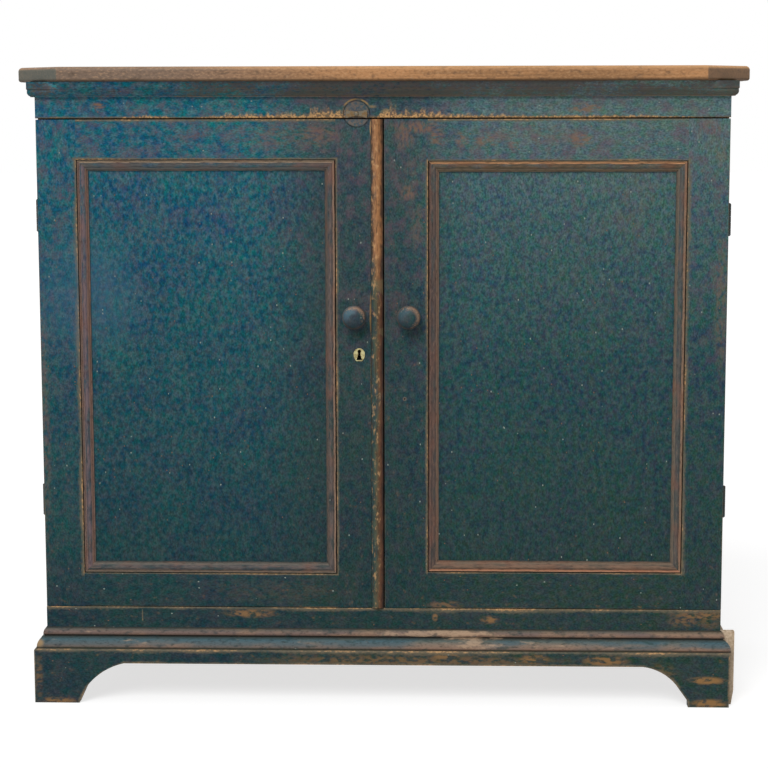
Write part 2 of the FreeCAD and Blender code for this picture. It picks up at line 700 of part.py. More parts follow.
class Door:
    """The places that one framed door is built on. A side of -1 is the left door and 1 the right."""

    def __init__(self, side, meeting_x, hinge_stile, meeting_stile, top_rail, bottom_rail, hinge_heights):
        self.side = side
        self.hinge_x = side * (CASE_SIDE - DOOR_SIDE_INSET)
        self.meeting_x = meeting_x
        self.open_hinge_x = self.hinge_x - side * hinge_stile
        self.open_meeting_x = meeting_x + side * meeting_stile
        self.open_bottom = DOOR_BOTTOM + bottom_rail
        self.open_top = DOOR_TOP - top_rail
        self.hinge_heights = hinge_heights

    def frame_y(self):
        return FACE, DOOR_BACK

    def groove_y(self, fit):
        return PANEL_FACE - fit, PANEL_FACE + PANEL_THICKNESS + fit

    def tenon_heights(self):
        """The heights of the bottom rail's tenon and of the top rail's."""
        return (
            (DOOR_BOTTOM + TENON_SHOULDER, self.open_bottom - PANEL_GROOVE),
            (self.open_top + PANEL_GROOVE, DOOR_TOP - TENON_SHOULDER),
        )


def stile(door, outer_x, open_x, extra_cuts):
    """A stile with its groove, its two mortises and a rounded outer arris."""
    outward = 1 if outer_x > open_x else -1
    board = block((outer_x, open_x), door.frame_y(), (DOOR_BOTTOM, DOOR_TOP))
    board = softened(board, DOOR_ARRIS, lambda point: at(point.y, FACE) and at(point.x, outer_x))
    past = open_x - outward * OVERRUN
    groove_y = door.groove_y(JOINT_FIT)
    tools = [block((past, open_x + outward * PANEL_GROOVE), groove_y,
                   (door.open_bottom - PANEL_GROOVE, door.open_top + PANEL_GROOVE))]
    for low, high in door.tenon_heights():
        tools.append(block((past, open_x + outward * (TENON_LENGTH + JOINT_FIT)), groove_y,
                           (low - JOINT_FIT, high + JOINT_FIT)))
    return cut(board, tools + extra_cuts)


def hinge_stile(door):
    cuts = []
    for height in door.hinge_heights:
        x, y, z = door_leaf_spans(door.side, height)
        past = door.side * (CASE_SIDE + OVERRUN)
        cuts.append(grown((past, x[1]), (DOOR_BACK + OVERRUN, y[1]), z, JOINT_FIT))
        cuts += [screw(place, FORWARD, SCREW_FIT) for place in door_screw_places(door.side, height)]
    return stile(door, door.hinge_x, door.open_hinge_x, cuts)


def door_rail(door, edge, opening, tenon, extra_cuts):
    """A rail with a tenon at each end and a groove for the panel."""
    x = (door.open_hinge_x, door.open_meeting_x)
    outward = 1 if edge > opening else -1
    board = block(x, door.frame_y(), (edge, opening))
    board = softened(board, DOOR_ARRIS, lambda point: at(point.y, FACE) and at(point.z, edge))
    groove = block((min(x) - OVERRUN, max(x) + OVERRUN), door.groove_y(JOINT_FIT),
                   (opening - outward * OVERRUN, opening + outward * PANEL_GROOVE))
    tenons = block((min(x) - TENON_LENGTH, max(x) + TENON_LENGTH), door.groove_y(0), tenon)
    return cut(joined([board.cut(groove), tenons]), extra_cuts)


def door_panel(door):
    hold = PANEL_GROOVE - PANEL_PLAY
    x = (door.open_hinge_x + door.side * hold, door.open_meeting_x - door.side * hold)
    z = (door.open_bottom - hold, door.open_top + hold)
    return block(x, door.groove_y(0), z)


def panel_mouldings(door, name):
    """Four mitred lengths round the panel, just inside the frame and a little below its face."""
    low_x = min(door.open_hinge_x, door.open_meeting_x) + PANEL_MOULDING_GAP
    high_x = max(door.open_hinge_x, door.open_meeting_x) - PANEL_MOULDING_GAP
    low_z = door.open_bottom + PANEL_MOULDING_GAP
    high_z = door.open_top - PANEL_MOULDING_GAP
    corners = [Vector(x, PANEL_FACE, z) for x, z in
               ((low_x, low_z), (high_x, low_z), (high_x, high_z), (low_x, high_z))]
    height = PANEL_RECESS - PANEL_MOULDING_SINK
    profile = scaled(PANEL_MOULDING_SHARES, PANEL_MOULDING_WIDTH, height)
    pieces = {}
    for i, (place, inward) in enumerate((("bottom", UP), ("right", LEFT), ("top", DOWN), ("left", RIGHT))):
        bar = mitred_bar(profile, PANEL_MOULDING_WIDTH, height, corners[i], corners[(i + 1) % 4],
                         inward, FORWARD, -1, -1)
        pieces[name + "_door_panel_moulding_" + place] = bar
    return pieces


def knob(x):
    spigot = [(0, -SPIGOT_LENGTH), (SPIGOT_RADIUS, -SPIGOT_LENGTH), (SPIGOT_RADIUS, 0)]
    body = scaled(KNOB_SHARES, KNOB_RADIUS, KNOB_REACH)
    steps = spigot + body + [dome(*body[-1][-2:], KNOB_REACH)]
    return turned(steps, Vector(x, FACE, KNOB_HEIGHT), FORWARD)


def knob_hole(x):
    start = Vector(x, FACE - OVERRUN, KNOB_HEIGHT)
    depth = SPIGOT_LENGTH + OVERRUN + JOINT_FIT
    return Part.makeCylinder(SPIGOT_RADIUS + JOINT_FIT, depth, start, BACKWARD)


def keyhole(start, end):
    """The keyhole's shape, with a round head and a flared foot, between two places along Y."""
    middle = Vector(KEYHOLE_X, start, KEYHOLE_HEIGHT)
    run = end - start
    head = Part.makeCylinder(KEYHOLE_HEAD_RADIUS, run, middle + UP * KEYHOLE_HEAD_RISE, BACKWARD)
    steps = [
        (-KEYHOLE_NECK, KEYHOLE_HEAD_RISE), (KEYHOLE_NECK, KEYHOLE_HEAD_RISE), (KEYHOLE_NECK, 0),
        (KEYHOLE_FLARE, -KEYHOLE_DROP), (-KEYHOLE_FLARE, -KEYHOLE_DROP), (-KEYHOLE_NECK, 0),
    ]
    return joined([head, outline(steps, middle, RIGHT, UP).extrude(BACKWARD * run)])


def escutcheon():
    steps = scaled(ESCUTCHEON_SHARES, ESCUTCHEON_HALF_WIDTH, ESCUTCHEON_HALF_HEIGHT)
    middle = Vector(KEYHOLE_X, FACE, KEYHOLE_HEIGHT)
    plate = outline(steps, middle, RIGHT, UP).extrude(FORWARD * ESCUTCHEON_THICKNESS)
    return plate.cut(keyhole(FACE - OVERRUN, FACE + OVERRUN))


def meeting_bead():
    """The half-round strip planted on the left door's meeting edge."""
    low = LEFT_DOOR_EDGE - BEAD_WIDTH
    nose = FACE - BEAD_RISE
    shoulder = FACE - BEAD_SHOULDER
    steps = [
        (low, DOOR_BACK), (low, shoulder), ((low + LEFT_DOOR_EDGE) / 2, nose, LEFT_DOOR_EDGE, shoulder),
        (LEFT_DOOR_EDGE, DOOR_BACK),
    ]
    return outline(steps, UP * DOOR_BOTTOM, RIGHT, BACKWARD).extrude(UP * DOOR_HEIGHT)


def framed_door(door, name, meeting_cuts):
    """The frame, panel and mouldings. Holes in the meeting stile go on through the tenons in it."""
    low_tenon, high_tenon = door.tenon_heights()
    nodes = {
        name + "_door_hinge_stile": hinge_stile(door),
        name + "_door_meeting_stile": stile(door, door.meeting_x, door.open_meeting_x, meeting_cuts),
        name + "_door_bottom_rail": door_rail(door, DOOR_BOTTOM, door.open_bottom, low_tenon, meeting_cuts),
        name + "_door_top_rail": door_rail(door, DOOR_TOP, door.open_top, high_tenon, meeting_cuts),
        name + "_door_panel": door_panel(door),
    }
    nodes.update(panel_mouldings(door, name))
    return nodes


# Lock

def lock_plate_spans():
    low = KEYHOLE_HEIGHT - LOCK_PLATE_BELOW_KEYHOLE
    return (LOCK_EDGE - LOCK_PLATE_WIDTH, LOCK_EDGE), (low, low + LOCK_PLATE_HEIGHT)


def lock_box_heights():
    middle = sum(lock_plate_spans()[1]) / 2
    return middle - LOCK_BOX_HEIGHT / 2, middle + LOCK_BOX_HEIGHT / 2


def lock_bolt_spans():
    middle = DOOR_BACK + (LOCK_PLATE_THICKNESS + LOCK_DEPTH - LOCK_WALL) / 2
    low = KEYHOLE_HEIGHT + LOCK_BOLT_RISE
    return (
        (LOCK_EDGE - LOCK_BOLT_LENGTH, LOCK_EDGE),
        (middle - LOCK_BOLT_THICKNESS / 2, middle + LOCK_BOLT_THICKNESS / 2),
        (low, low + LOCK_BOLT_HEIGHT),
    )


def lock_screw_places():
    x_span, z_span = lock_plate_spans()
    return [
        Vector(x, DOOR_BACK + LOCK_PLATE_THICKNESS, z)
        for x in (x_span[0] + LOCK_SCREW_INSET, x_span[1] - LOCK_SCREW_INSET)
        for z in (z_span[0] + LOCK_SCREW_INSET, z_span[1] - LOCK_SCREW_INSET)
    ]


def lock_post(fit, reach):
    """The post that guides the bolt's tail, or the slot that runs along it."""
    x, _, z = lock_bolt_spans()
    place = Vector(x[0] + LOCK_POST_INSET + LOCK_BOLT_TRAVEL, DOOR_BACK, sum(z) / 2)
    return Part.makeCylinder(LOCK_POST_RADIUS + fit, reach, place, BACKWARD)


def lock_case():
    """A screw plate with a hollow box on it, a keyhole, a slot for the bolt and a post inside."""
    plate_x, plate_z = lock_plate_spans()
    box_x = (LOCK_EDGE - LOCK_BOX_WIDTH, LOCK_EDGE)
    low, high = lock_box_heights()
    plate = block(plate_x, (DOOR_BACK, DOOR_BACK + LOCK_PLATE_THICKNESS), plate_z)
    box = block(box_x, (DOOR_BACK, DOOR_BACK + LOCK_DEPTH), (low, high))
    room = block((box_x[0] + LOCK_WALL, box_x[1] - LOCK_WALL),
                 (DOOR_BACK + LOCK_PLATE_THICKNESS, DOOR_BACK + LOCK_DEPTH - LOCK_WALL),
                 (low + LOCK_WALL, high - LOCK_WALL))
    bolt_x, bolt_y, bolt_z = lock_bolt_spans()
    slot_start = bolt_x[0] + LOCK_POST_INSET + LOCK_BOLT_TRAVEL
    slot = grown((slot_start, LOCK_EDGE + OVERRUN), bolt_y, bolt_z, SLIDE_FIT)
    key_way = keyhole(DOOR_BACK - OVERRUN, DOOR_BACK + LOCK_PLATE_THICKNESS)
    shell = joined([plate, box]).cut([room, slot, key_way])
    shell = joined([shell, lock_post(0, LOCK_DEPTH)])
    return shell.cut([screw(place, FORWARD, SCREW_FIT) for place in lock_screw_places()])


def lock_bolt():
    x, y, z = lock_bolt_spans()
    bar = block(x, y, z)
    middle = sum(z) / 2
    slot_start = x[0] + LOCK_POST_INSET
    half = LOCK_POST_RADIUS + SLIDE_FIT
    through = (y[0] - OVERRUN, y[1] + OVERRUN)
    slot = block((slot_start, slot_start + LOCK_BOLT_TRAVEL), through, (middle - half, middle + half))
    ends = [
        Part.makeCylinder(half, through[1] - through[0], Vector(end, through[0], middle), BACKWARD)
        for end in (slot_start, slot_start + LOCK_BOLT_TRAVEL)
    ]
    talon_x = KEYHOLE_X + KEYHOLE_FLARE
    talon = block((talon_x, talon_x + LOCK_TALON_WIDTH), through, (z[0] - OVERRUN, z[0] + LOCK_TALON_DEPTH))
    return bar.cut([slot, talon] + ends)


def lock_spring():
    """A bent strip in the top of the lock, bowed down towards the bolt."""
    x, y, z = lock_bolt_spans()
    high = lock_box_heights()[1] - LOCK_WALL
    start = LOCK_EDGE - LOCK_BOX_WIDTH + LOCK_WALL
    end = LOCK_EDGE - LOCK_WALL
    low = z[1] + SLIDE_FIT
    thick = LOCK_SPRING_THICKNESS
    middle = (start + end) / 2
    steps = [
        (start, high), (start, high - thick), (middle, low, end, high - thick), (end, high),
        (middle, low + thick, start, high),
    ]
    return outline(steps, BACKWARD * y[0], RIGHT, UP).extrude(BACKWARD * LOCK_BOLT_THICKNESS)


# Bolt inside the right door

def bolt_spans():
    top = DOOR_TOP - BOLT_TIP_DROP
    front = DOOR_BACK + BOLT_PLATE_THICKNESS + SLIDE_FIT
    half = BOLT_WIDTH / 2
    return (BOLT_X - half, BOLT_X + half), (front, front + BOLT_THICKNESS), (top - BOLT_LENGTH, top)


def bolt_plate_heights():
    """The plate is as long as its two bridges and the knob's travel between them."""
    travel = BOLT_TRAVEL + 2 * (BOLT_KNOB_RADIUS + SLIDE_FIT)
    top = DOOR_TOP - BOLT_PLATE_DROP
    return top - travel - 2 * (BOLT_GUIDE_INSET + BOLT_GUIDE_HEIGHT), top


def bolt_screw_places():
    low, high = bolt_plate_heights()
    middle = (low + high) / 2
    reach = BOLT_PLATE_WIDTH / 2 - SCREW_HEAD_RADIUS - SLIDE_FIT
    return [Vector(BOLT_X + side * reach, DOOR_BACK + BOLT_PLATE_THICKNESS, middle) for side in (-1, 1)]


def door_bolt_plate():
    """A plate with two bridges that guide the bolt."""
    low, high = bolt_plate_heights()
    half = BOLT_PLATE_WIDTH / 2
    face = DOOR_BACK + BOLT_PLATE_THICKNESS
    pieces = [block((BOLT_X - half, BOLT_X + half), (DOOR_BACK, face), (low, high))]
    x, y, _ = bolt_spans()
    wall = BOLT_GUIDE_WALL + SLIDE_FIT
    for start in (low + BOLT_GUIDE_INSET, high - BOLT_GUIDE_INSET - BOLT_GUIDE_HEIGHT):
        pieces.append(block((x[0] - wall, x[1] + wall), (DOOR_BACK, y[1] + wall),
                            (start, start + BOLT_GUIDE_HEIGHT)))
    way = grown(x, (face + SLIDE_FIT, y[1]), (low - OVERRUN, high + OVERRUN), SLIDE_FIT)
    return joined(pieces).cut([way] + [screw(place, FORWARD, SCREW_FIT) for place in bolt_screw_places()])


def door_bolt():
    """A flat bar with a turned knob between the two bridges."""
    x, y, z = bolt_spans()
    bar = block(x, y, z)
    low, high = bolt_plate_heights()
    lowest = low + BOLT_GUIDE_INSET + BOLT_GUIDE_HEIGHT + SLIDE_FIT + BOLT_KNOB_RADIUS
    place = Vector(BOLT_X, y[1], lowest)
    rim = BOLT_KNOB_REACH - BOLT_KNOB_RADIUS
    steps = [
        (0, -BOLT_THICKNESS / 2), (BOLT_KNOB_NECK, -BOLT_THICKNESS / 2),
        (BOLT_KNOB_NECK, rim - BOLT_KNOB_RADIUS / 2), (BOLT_KNOB_RADIUS, rim),
        dome(BOLT_KNOB_RADIUS, rim, BOLT_KNOB_REACH),
    ]
    return joined([bar, turned(steps, place, BACKWARD)])


# Turn button

def button_pivot():
    return Vector(BUTTON_X, FACE, FRIEZE_BOTTOM + BUTTON_RISE)


def turn_button():
    """A bow-tie plate, lying level and clear of the door."""
    pivot = button_pivot() + FORWARD * BUTTON_CLEARANCE
    tip = BUTTON_LENGTH / 2
    end = tip - BUTTON_END_BOW
    wide = BUTTON_END_HALF_WIDTH
    steps = [
        (-end, wide), (0, BUTTON_WAIST_HALF_WIDTH, end, wide), (tip, 0, end, -wide),
        (0, -BUTTON_WAIST_HALF_WIDTH, -end, -wide), (-tip, 0, -end, wide),
    ]
    plate = outline(steps, pivot, RIGHT, UP).extrude(FORWARD * BUTTON_THICKNESS)
    hole = Part.makeCylinder(BUTTON_SCREW_RADIUS + BUTTON_FIT, BUTTON_THICKNESS + 2 * OVERRUN,
                             pivot + BACKWARD * OVERRUN, FORWARD)
    return plate.cut(hole)


def button_screw_steps():
    """Radius and depth of the screw, measured backwards from the frieze's face."""
    neck = BUTTON_CLEARANCE + BUTTON_THICKNESS + BUTTON_SCREW_HEAD_GAP
    head = neck + BUTTON_SCREW_HEAD_HEIGHT
    return [
        (0, BUTTON_SCREW_LENGTH), (BUTTON_SCREW_RADIUS, BUTTON_SCREW_LENGTH - SCREW_TIP),
        (BUTTON_SCREW_RADIUS, -neck), (BUTTON_SCREW_HEAD_RADIUS, -neck),
        dome(BUTTON_SCREW_HEAD_RADIUS, -neck, -head),
    ]


def button_screw():
    body = turned(button_screw_steps(), button_pivot(), BACKWARD)
    head = BUTTON_CLEARANCE + BUTTON_THICKNESS + BUTTON_SCREW_HEAD_GAP + BUTTON_SCREW_HEAD_HEIGHT
    half = BUTTON_SCREW_SLOT / 2
    wide = BUTTON_SCREW_HEAD_RADIUS + OVERRUN
    pivot = button_pivot()
    slot = block((pivot.x - wide, pivot.x + wide), (FACE - head - OVERRUN, FACE - head + BUTTON_SCREW_SLOT),
                 (pivot.z - half, pivot.z + half))
    return body.cut(slot)


def button_screw_hole():
    start = button_pivot() + FORWARD * OVERRUN
    return Part.makeCylinder(BUTTON_SCREW_RADIUS + JOINT_FIT, BUTTON_SCREW_LENGTH + OVERRUN + JOINT_FIT,
                             start, BACKWARD)


# The whole cupboard

def case_nodes():
    nodes = {
        "top_board": top_board(),
        "frieze_rail": frieze_rail(),
        "side_board_left": side_board(-1, LEFT_HINGE_HEIGHTS),
        "side_board_right": side_board(1, RIGHT_HINGE_HEIGHTS),
        "bottom_rail": bottom_rail(),
        "bottom_board": bottom_board(),
        "shelf_lower": shelf(LOWER_SHELF_RISE),
        "shelf_upper": shelf(UPPER_SHELF_RISE),
        "shelf_cleats": shelf_cleats(),
        "rear_top_rail": rear_top_rail(),
        "plinth_front": plinth_front(),
        "plinth_side_left": plinth_side_left(),
        "plinth_side_right": plinth_side_right(),
        "rear_foot_brackets": rear_foot_brackets(),
        "foot_blocks": foot_blocks(),
        "turn_button": turn_button(),
        "turn_button_screw": button_screw(),
    }
    for i in range(BACK_BOARD_COUNT):
        nodes["back_board_" + str(i + 1)] = back_board(i)
    nodes.update(top_mouldings())
    nodes.update(base_mouldings())
    nodes.update(hinges())
    return nodes


def left_door_nodes():
    door = Door(-1, LEFT_DOOR_EDGE - BEAD_WIDTH, LEFT_HINGE_STILE, LEFT_MEETING_STILE,
                LEFT_TOP_RAIL, LEFT_BOTTOM_RAIL, LEFT_HINGE_HEIGHTS)
    knob_x = LEFT_DOOR_EDGE - LEFT_KNOB_INSET
    lock_holes = [screw(place, FORWARD, SCREW_FIT) for place in lock_screw_places()]
    cuts = [knob_hole(knob_x), keyhole(FACE - OVERRUN, DOOR_BACK + OVERRUN)] + lock_holes
    nodes = framed_door(door, "left", cuts)
    hinge_places = [place for height in LEFT_HINGE_HEIGHTS for place in door_screw_places(-1, height)]
    screws = [screw(place, FORWARD) for place in hinge_places + lock_screw_places()]
    nodes.update({
        "left_door_bead": meeting_bead().cut(lock_holes),
        "left_door_knob": knob(knob_x),
        "escutcheon": escutcheon(),
        "lock_case": lock_case(),
        "lock_bolt": lock_bolt(),
        "lock_spring": lock_spring(),
        "left_door_screws": Part.makeCompound(screws),
    })
    return nodes


def right_door_nodes():
    door = Door(1, RIGHT_DOOR_EDGE, RIGHT_HINGE_STILE, RIGHT_MEETING_STILE,
                RIGHT_TOP_RAIL, RIGHT_BOTTOM_RAIL, RIGHT_HINGE_HEIGHTS)
    knob_x = RIGHT_DOOR_EDGE + RIGHT_KNOB_INSET
    nail = Vector(RIGHT_DOOR_EDGE + NAIL_HOLE_INSET, FACE - OVERRUN, NAIL_HOLE_HEIGHT)
    nail_hole = Part.makeCylinder(NAIL_HOLE_RADIUS, NAIL_HOLE_DEPTH + OVERRUN, nail, BACKWARD)
    bolt_holes = [screw(place, FORWARD, SCREW_FIT) for place in bolt_screw_places()]
    nodes = framed_door(door, "right", [knob_hole(knob_x), nail_hole] + bolt_holes)
    hinge_places = [place for height in RIGHT_HINGE_HEIGHTS for place in door_screw_places(1, height)]
    screws = [screw(place, FORWARD) for place in hinge_places + bolt_screw_places()]
    nodes.update({
        "right_door_knob": knob(knob_x),
        "door_bolt_plate": door_bolt_plate(),
        "door_bolt": door_bolt(),
        "right_door_screws": Part.makeCompound(screws),
    })
    return nodes


def main():
    os.makedirs("parts", exist_ok=True)
    nodes = case_nodes()
    nodes.update(left_door_nodes())
    nodes.update(right_door_nodes())
    for name, shape in nodes.items():
        solids = shape.Solids
        whole = solids[0] if len(solids) == 1 else Part.makeCompound(solids)
        whole.exportStep("parts/" + name + ".step")
        print(name, len(solids), round(whole.Volume), whole.isValid())


if __name__ == "__main__":
    main()
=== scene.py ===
import math

import bpy
from mathutils import Euler, Matrix, Vector


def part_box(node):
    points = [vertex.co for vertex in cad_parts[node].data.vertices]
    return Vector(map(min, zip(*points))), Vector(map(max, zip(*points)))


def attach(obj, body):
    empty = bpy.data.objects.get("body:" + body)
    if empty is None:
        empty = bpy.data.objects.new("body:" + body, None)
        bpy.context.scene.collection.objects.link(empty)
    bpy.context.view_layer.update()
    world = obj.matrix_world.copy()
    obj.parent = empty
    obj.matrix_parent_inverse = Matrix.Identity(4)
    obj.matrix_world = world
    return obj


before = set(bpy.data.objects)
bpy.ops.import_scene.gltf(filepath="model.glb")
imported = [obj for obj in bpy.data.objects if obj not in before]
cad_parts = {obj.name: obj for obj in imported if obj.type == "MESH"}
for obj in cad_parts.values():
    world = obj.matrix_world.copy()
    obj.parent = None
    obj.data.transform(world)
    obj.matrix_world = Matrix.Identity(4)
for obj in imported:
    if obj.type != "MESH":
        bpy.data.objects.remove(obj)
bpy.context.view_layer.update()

# Two-door painted cupboard. Lengths are in metres, in the frame of the solids: X right, Y back, Z up.

MM = 0.001


def middle_of(node):
    """The middle of a solid's box."""
    return sum(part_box(node), Vector()) / 2


# Places on the cupboard, from its solids
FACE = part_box("frieze_rail")[0].y
DOOR_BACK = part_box("left_door_hinge_stile")[1].y
DOOR_BOTTOM, DOOR_TOP = (corner.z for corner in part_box("left_door_hinge_stile"))
FRIEZE_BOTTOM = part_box("frieze_rail")[0].z
CASE_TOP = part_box("frieze_rail")[1].z
CASE_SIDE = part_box("frieze_rail")[1].x
RAIL_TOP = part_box("bottom_rail")[1].z
PLINTH_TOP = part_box("plinth_front")[1].z
MOULDING_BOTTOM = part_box("top_moulding_front")[0].z
BUTTON = middle_of("turn_button")
NAIL_HOLE_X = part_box("right_door_meeting_stile")[0].x + 34.5 * MM
NAIL_HOLE_Z = 0.529
HAND_HEIGHT = 0.670  # where hands reach for the knobs
SCAR_RADIUS = 22 * MM  # how far the turn button's ends sweep round its screw
CANT = 77.8 * MM  # how far the top's canted corners are cut back along each edge
LOW_FROM = 0.24  # below this the paint has a more golden undercoat
# Centre of the painted glare, a reflection of light, on the left door
GLARE_X = -0.500
GLARE_Z = 0.705

# Colours, red, green and blue out of 255. The paint's change from the floor up to the frieze, partly its own
# tone and partly painted shade that darkens it towards the floor.
PAINT_HEIGHTS = (0.15, 0.55, 0.80, 0.95)
PAINT_AND_LIGHT_LEFT = ((28, 53, 57), (34, 75, 85), (33, 84, 101), (32, 93, 110))
PAINT_AND_LIGHT_MIDDLE = ((28, 53, 54), (38, 61, 65), (45, 67, 72), (53, 75, 80))
PAINT_AND_LIGHT_RIGHT = ((35, 57, 55), (38, 70, 74), (61, 92, 95), (82, 109, 109))
PLUM_TINT = (104, 78, 88)
UNDERCOAT = (124, 96, 78)
LOW_UNDERCOAT = (138, 104, 66)  # towards the floor
EDGE_BROWN = (106, 97, 80)
WORN_WOOD = (134, 102, 68)
RUBBED_WOOD = (186, 146, 102)
# Dark dirt, and also painted shade in the quirks of the mouldings
GRIME_AND_SHADE = (30, 24, 20)
PALE_PINE = (188, 148, 104)
DARK_PINE = (138, 98, 62)
PALE_SPECK = (134, 144, 136)
RED_SPECK = (118, 88, 70)

# Surfaces: their roughness, their shine and the depth of their relief
WORN_ROUGHNESS = 0.62
HANDLED_ROUGHNESS = 0.55
PAINT_SHINE = 0.14
WOOD_SHINE = 0.25
HANDLED_SHINE = 0.2
METAL_SHINE = 0.5
RELIEF = 0.3 * MM
FINE_RELIEF = 0.25 * MM


def colour(value):
    """An RGBA colour in linear light."""
    shares = [part / 255 for part in value]
    linear = [s / 12.92 if s <= 0.04045 else ((s + 0.055) / 1.055) ** 2.4 for s in shares]
    return (*linear, 1)


class Finish:
    """One material, built from nodes. A value is a number, a tuple or the output of another node."""

    def __init__(self, name):
        self.material = bpy.data.materials.new(name)
        self.material.use_nodes = True
        self.tree = self.material.node_tree
        self.shader = self.tree.nodes["Principled BSDF"]
        self.place = self.node("ShaderNodeTexCoord").outputs["Object"]

    def node(self, kind, inputs=None, **settings):
        made = self.tree.nodes.new(kind)
        for name, value in settings.items():
            setattr(made, name, value)
        for key, value in (inputs or {}).items():
            self.feed(made.inputs[key], value)
        return made

    def feed(self, socket, value):
        if isinstance(value, bpy.types.NodeSocket):
            self.tree.links.new(value, socket)
        else:
            socket.default_value = value

    def math(self, operation, *values, clamp=False):
        inputs = dict(enumerate(values))
        return self.node("ShaderNodeMath", inputs, operation=operation, use_clamp=clamp).outputs[0]

    def times(self, first, second, clamp=False):
        return self.math("MULTIPLY", first, second, clamp=clamp)

    def plus(self, first, second):
        return self.math("ADD", first, second)

    def minus(self, first, second):
        return self.math("SUBTRACT", first, second)

    def weighted(self, first, first_share, second, second_share):
        """The sum of two values, each times its share."""
        return self.plus(self.times(first, first_share), self.times(second, second_share))

    def vector(self, operation, *values):
        return self.node("ShaderNodeVectorMath", dict(enumerate(values)), operation=operation).outputs[0]

    def measure(self, operation, *values):
        """A vector operation whose result is a number."""
        made = self.node("ShaderNodeVectorMath", dict(enumerate(values)), operation=operation)
        return made.outputs["Value"]

    def away(self, x, z, wide=1, high=1):
        """Distance from a place, seen from the front, in shares of a width and a height."""
        offset = self.vector("SUBTRACT", self.place, (x, 0, z))
        return self.measure("LENGTH", self.vector("MULTIPLY", offset, (1 / wide, 0, 1 / high)))

    def axis(self, name):
        return self.node("ShaderNodeSeparateXYZ", {0: self.place}).outputs[name]

    def off(self, axis, place):
        """Distance from a place along an axis."""
        return self.math("ABSOLUTE", self.minus(self.axis(axis), place))

    def fade(self, value, start, end, low=0, high=1):
        """Runs softly from low at the start to high at the end."""
        inputs = {"Value": value, "From Min": start, "From Max": end, "To Min": low, "To Max": high}
        return self.node("ShaderNodeMapRange", inputs, interpolation_type="SMOOTHSTEP").outputs[0]

    def noise(self, size, stretch=(1, 1, 1), detail=3, shift=0):
        """Cloudy values about 0.5. The size is in metres, and the stretch lengthens it along an axis."""
        place = self.vector("DIVIDE", self.place, tuple(size * share for share in stretch))
        place = self.vector("ADD", place, (shift, shift, shift))
        return self.node("ShaderNodeTexNoise", {"Vector": place, "Scale": 1, "Detail": detail}).outputs[0]

    def mix(self, share, first, second):
        """From the first colour to the second. A plain colour is given out of 255."""
        made = self.node("ShaderNodeMix", {0: share}, data_type="RGBA")
        for socket, shade in zip(made.inputs[6:8], (first, second)):
            self.feed(socket, colour(shade) if isinstance(shade, tuple) else shade)
        return made.outputs[2]

    def lighten(self, shade, value):
        """A value over 1 makes a colour brighter, and one under 1 darker."""
        return self.node("ShaderNodeHueSaturation", {"Value": value, "Color": shade}).outputs[0]

    def bands(self, value, stops):
        """A colour for each value. The stops are pairs of a value from 0 to 1 and a colour."""
        made = self.node("ShaderNodeValToRGB", {0: value})
        ramp = made.color_ramp
        while len(ramp.elements) < len(stops):
            ramp.elements.new(1)
        for element, (position, shade) in zip(ramp.elements, stops):
            element.position = position
            element.color = colour(shade)
        return made.outputs[0]

    def specks(self, spacing, radius, share, stretch=(1, 1, 1)):
        """Scattered small dots. The share is how many of the cells hold one."""
        place = self.vector("DIVIDE", self.place, tuple(spacing * part for part in stretch))
        cells = self.node("ShaderNodeTexVoronoi", {"Vector": place, "Scale": 1})
        draw = self.node("ShaderNodeSeparateColor", {0: cells.outputs["Color"]}).outputs[0]
        chosen = self.fade(draw, 1 - share, 1 - share * 0.9)
        dot = self.fade(cells.outputs["Distance"], radius / spacing, radius / spacing * 0.6)
        return self.times(chosen, dot)

    def finish(self, shade, roughness, height, depth, shine, metallic=0):
        """Ends the material. The height is from 0 to 1, and the depth of its relief is in metres."""
        self.feed(self.shader.inputs["Base Color"], shade)
        self.feed(self.shader.inputs["Roughness"], roughness)
        self.shader.inputs["Specular IOR Level"].default_value = shine
        self.shader.inputs["Metallic"].default_value = metallic
        bump = self.node("ShaderNodeBump", {"Height": height, "Distance": depth, "Strength": 1})
        self.feed(self.shader.inputs["Normal"], bump.outputs[0])
        return self.material


# Where the paint is worn

FAR = 100


def nearest_line(surface, lines):
    """Distance to the nearest of some lines, each a start, an end and a width, in widths."""
    nearest = FAR
    for start, end, width in lines:
        run = Vector(end) - Vector(start)
        offset = surface.vector("SUBTRACT", surface.place, start)
        travelled = surface.measure("DOT_PRODUCT", offset, tuple(run))
        share = surface.times(travelled, 1 / run.length_squared, clamp=True)
        foot = surface.node("ShaderNodeVectorMath", {0: tuple(run), "Scale": share}, operation="SCALE")
        distance = surface.measure("DISTANCE", offset, foot.outputs[0])
        nearest = surface.math("MINIMUM", nearest, surface.math("DIVIDE", distance, width))
    return nearest


def spot_strength(surface, spots):
    """How strongly a point lies in some spots, each a centre X and Z, two radii and a strength."""
    total = 0
    for x, z, wide, high, strength in spots:
        near = surface.fade(surface.away(x, z, wide, high), 1.15, 0.3, 0, strength)
        total = surface.math("MAXIMUM", total, near)
    return total


def ring(surface, centre, radius, width):
    """A thin circle round a point, seen from the front."""
    distance = surface.minus(surface.away(centre.x, centre.z), radius)
    return surface.fade(surface.math("ABSOLUTE", distance), width, width * 0.3)


# Wood and paint

def along(grain, length):
    """A stretch that lengthens a texture along the grain."""
    return tuple(length if axis == grain else 1 for axis in "xyz")


def pine(surface, grain, pale=PALE_PINE, dark=DARK_PINE):
    """Colour and relief of bare pine with its grain along an axis."""
    streaks = surface.noise(3.5 * MM, along(grain, 45), 4, 3)
    bands = surface.noise(26 * MM, along(grain, 14), 3, 7)
    fibres = surface.noise(0.9 * MM, along(grain, 30), 2, 11)
    figure = surface.weighted(streaks, 0.55, bands, 0.45)
    shade = surface.mix(surface.fade(figure, 0.36, 0.64), dark, pale)
    shade = surface.mix(surface.fade(fibres, 0.45, 0.7, 0, 0.35), shade, dark)
    return shade, surface.weighted(fibres, 0.5, streaks, 0.5)


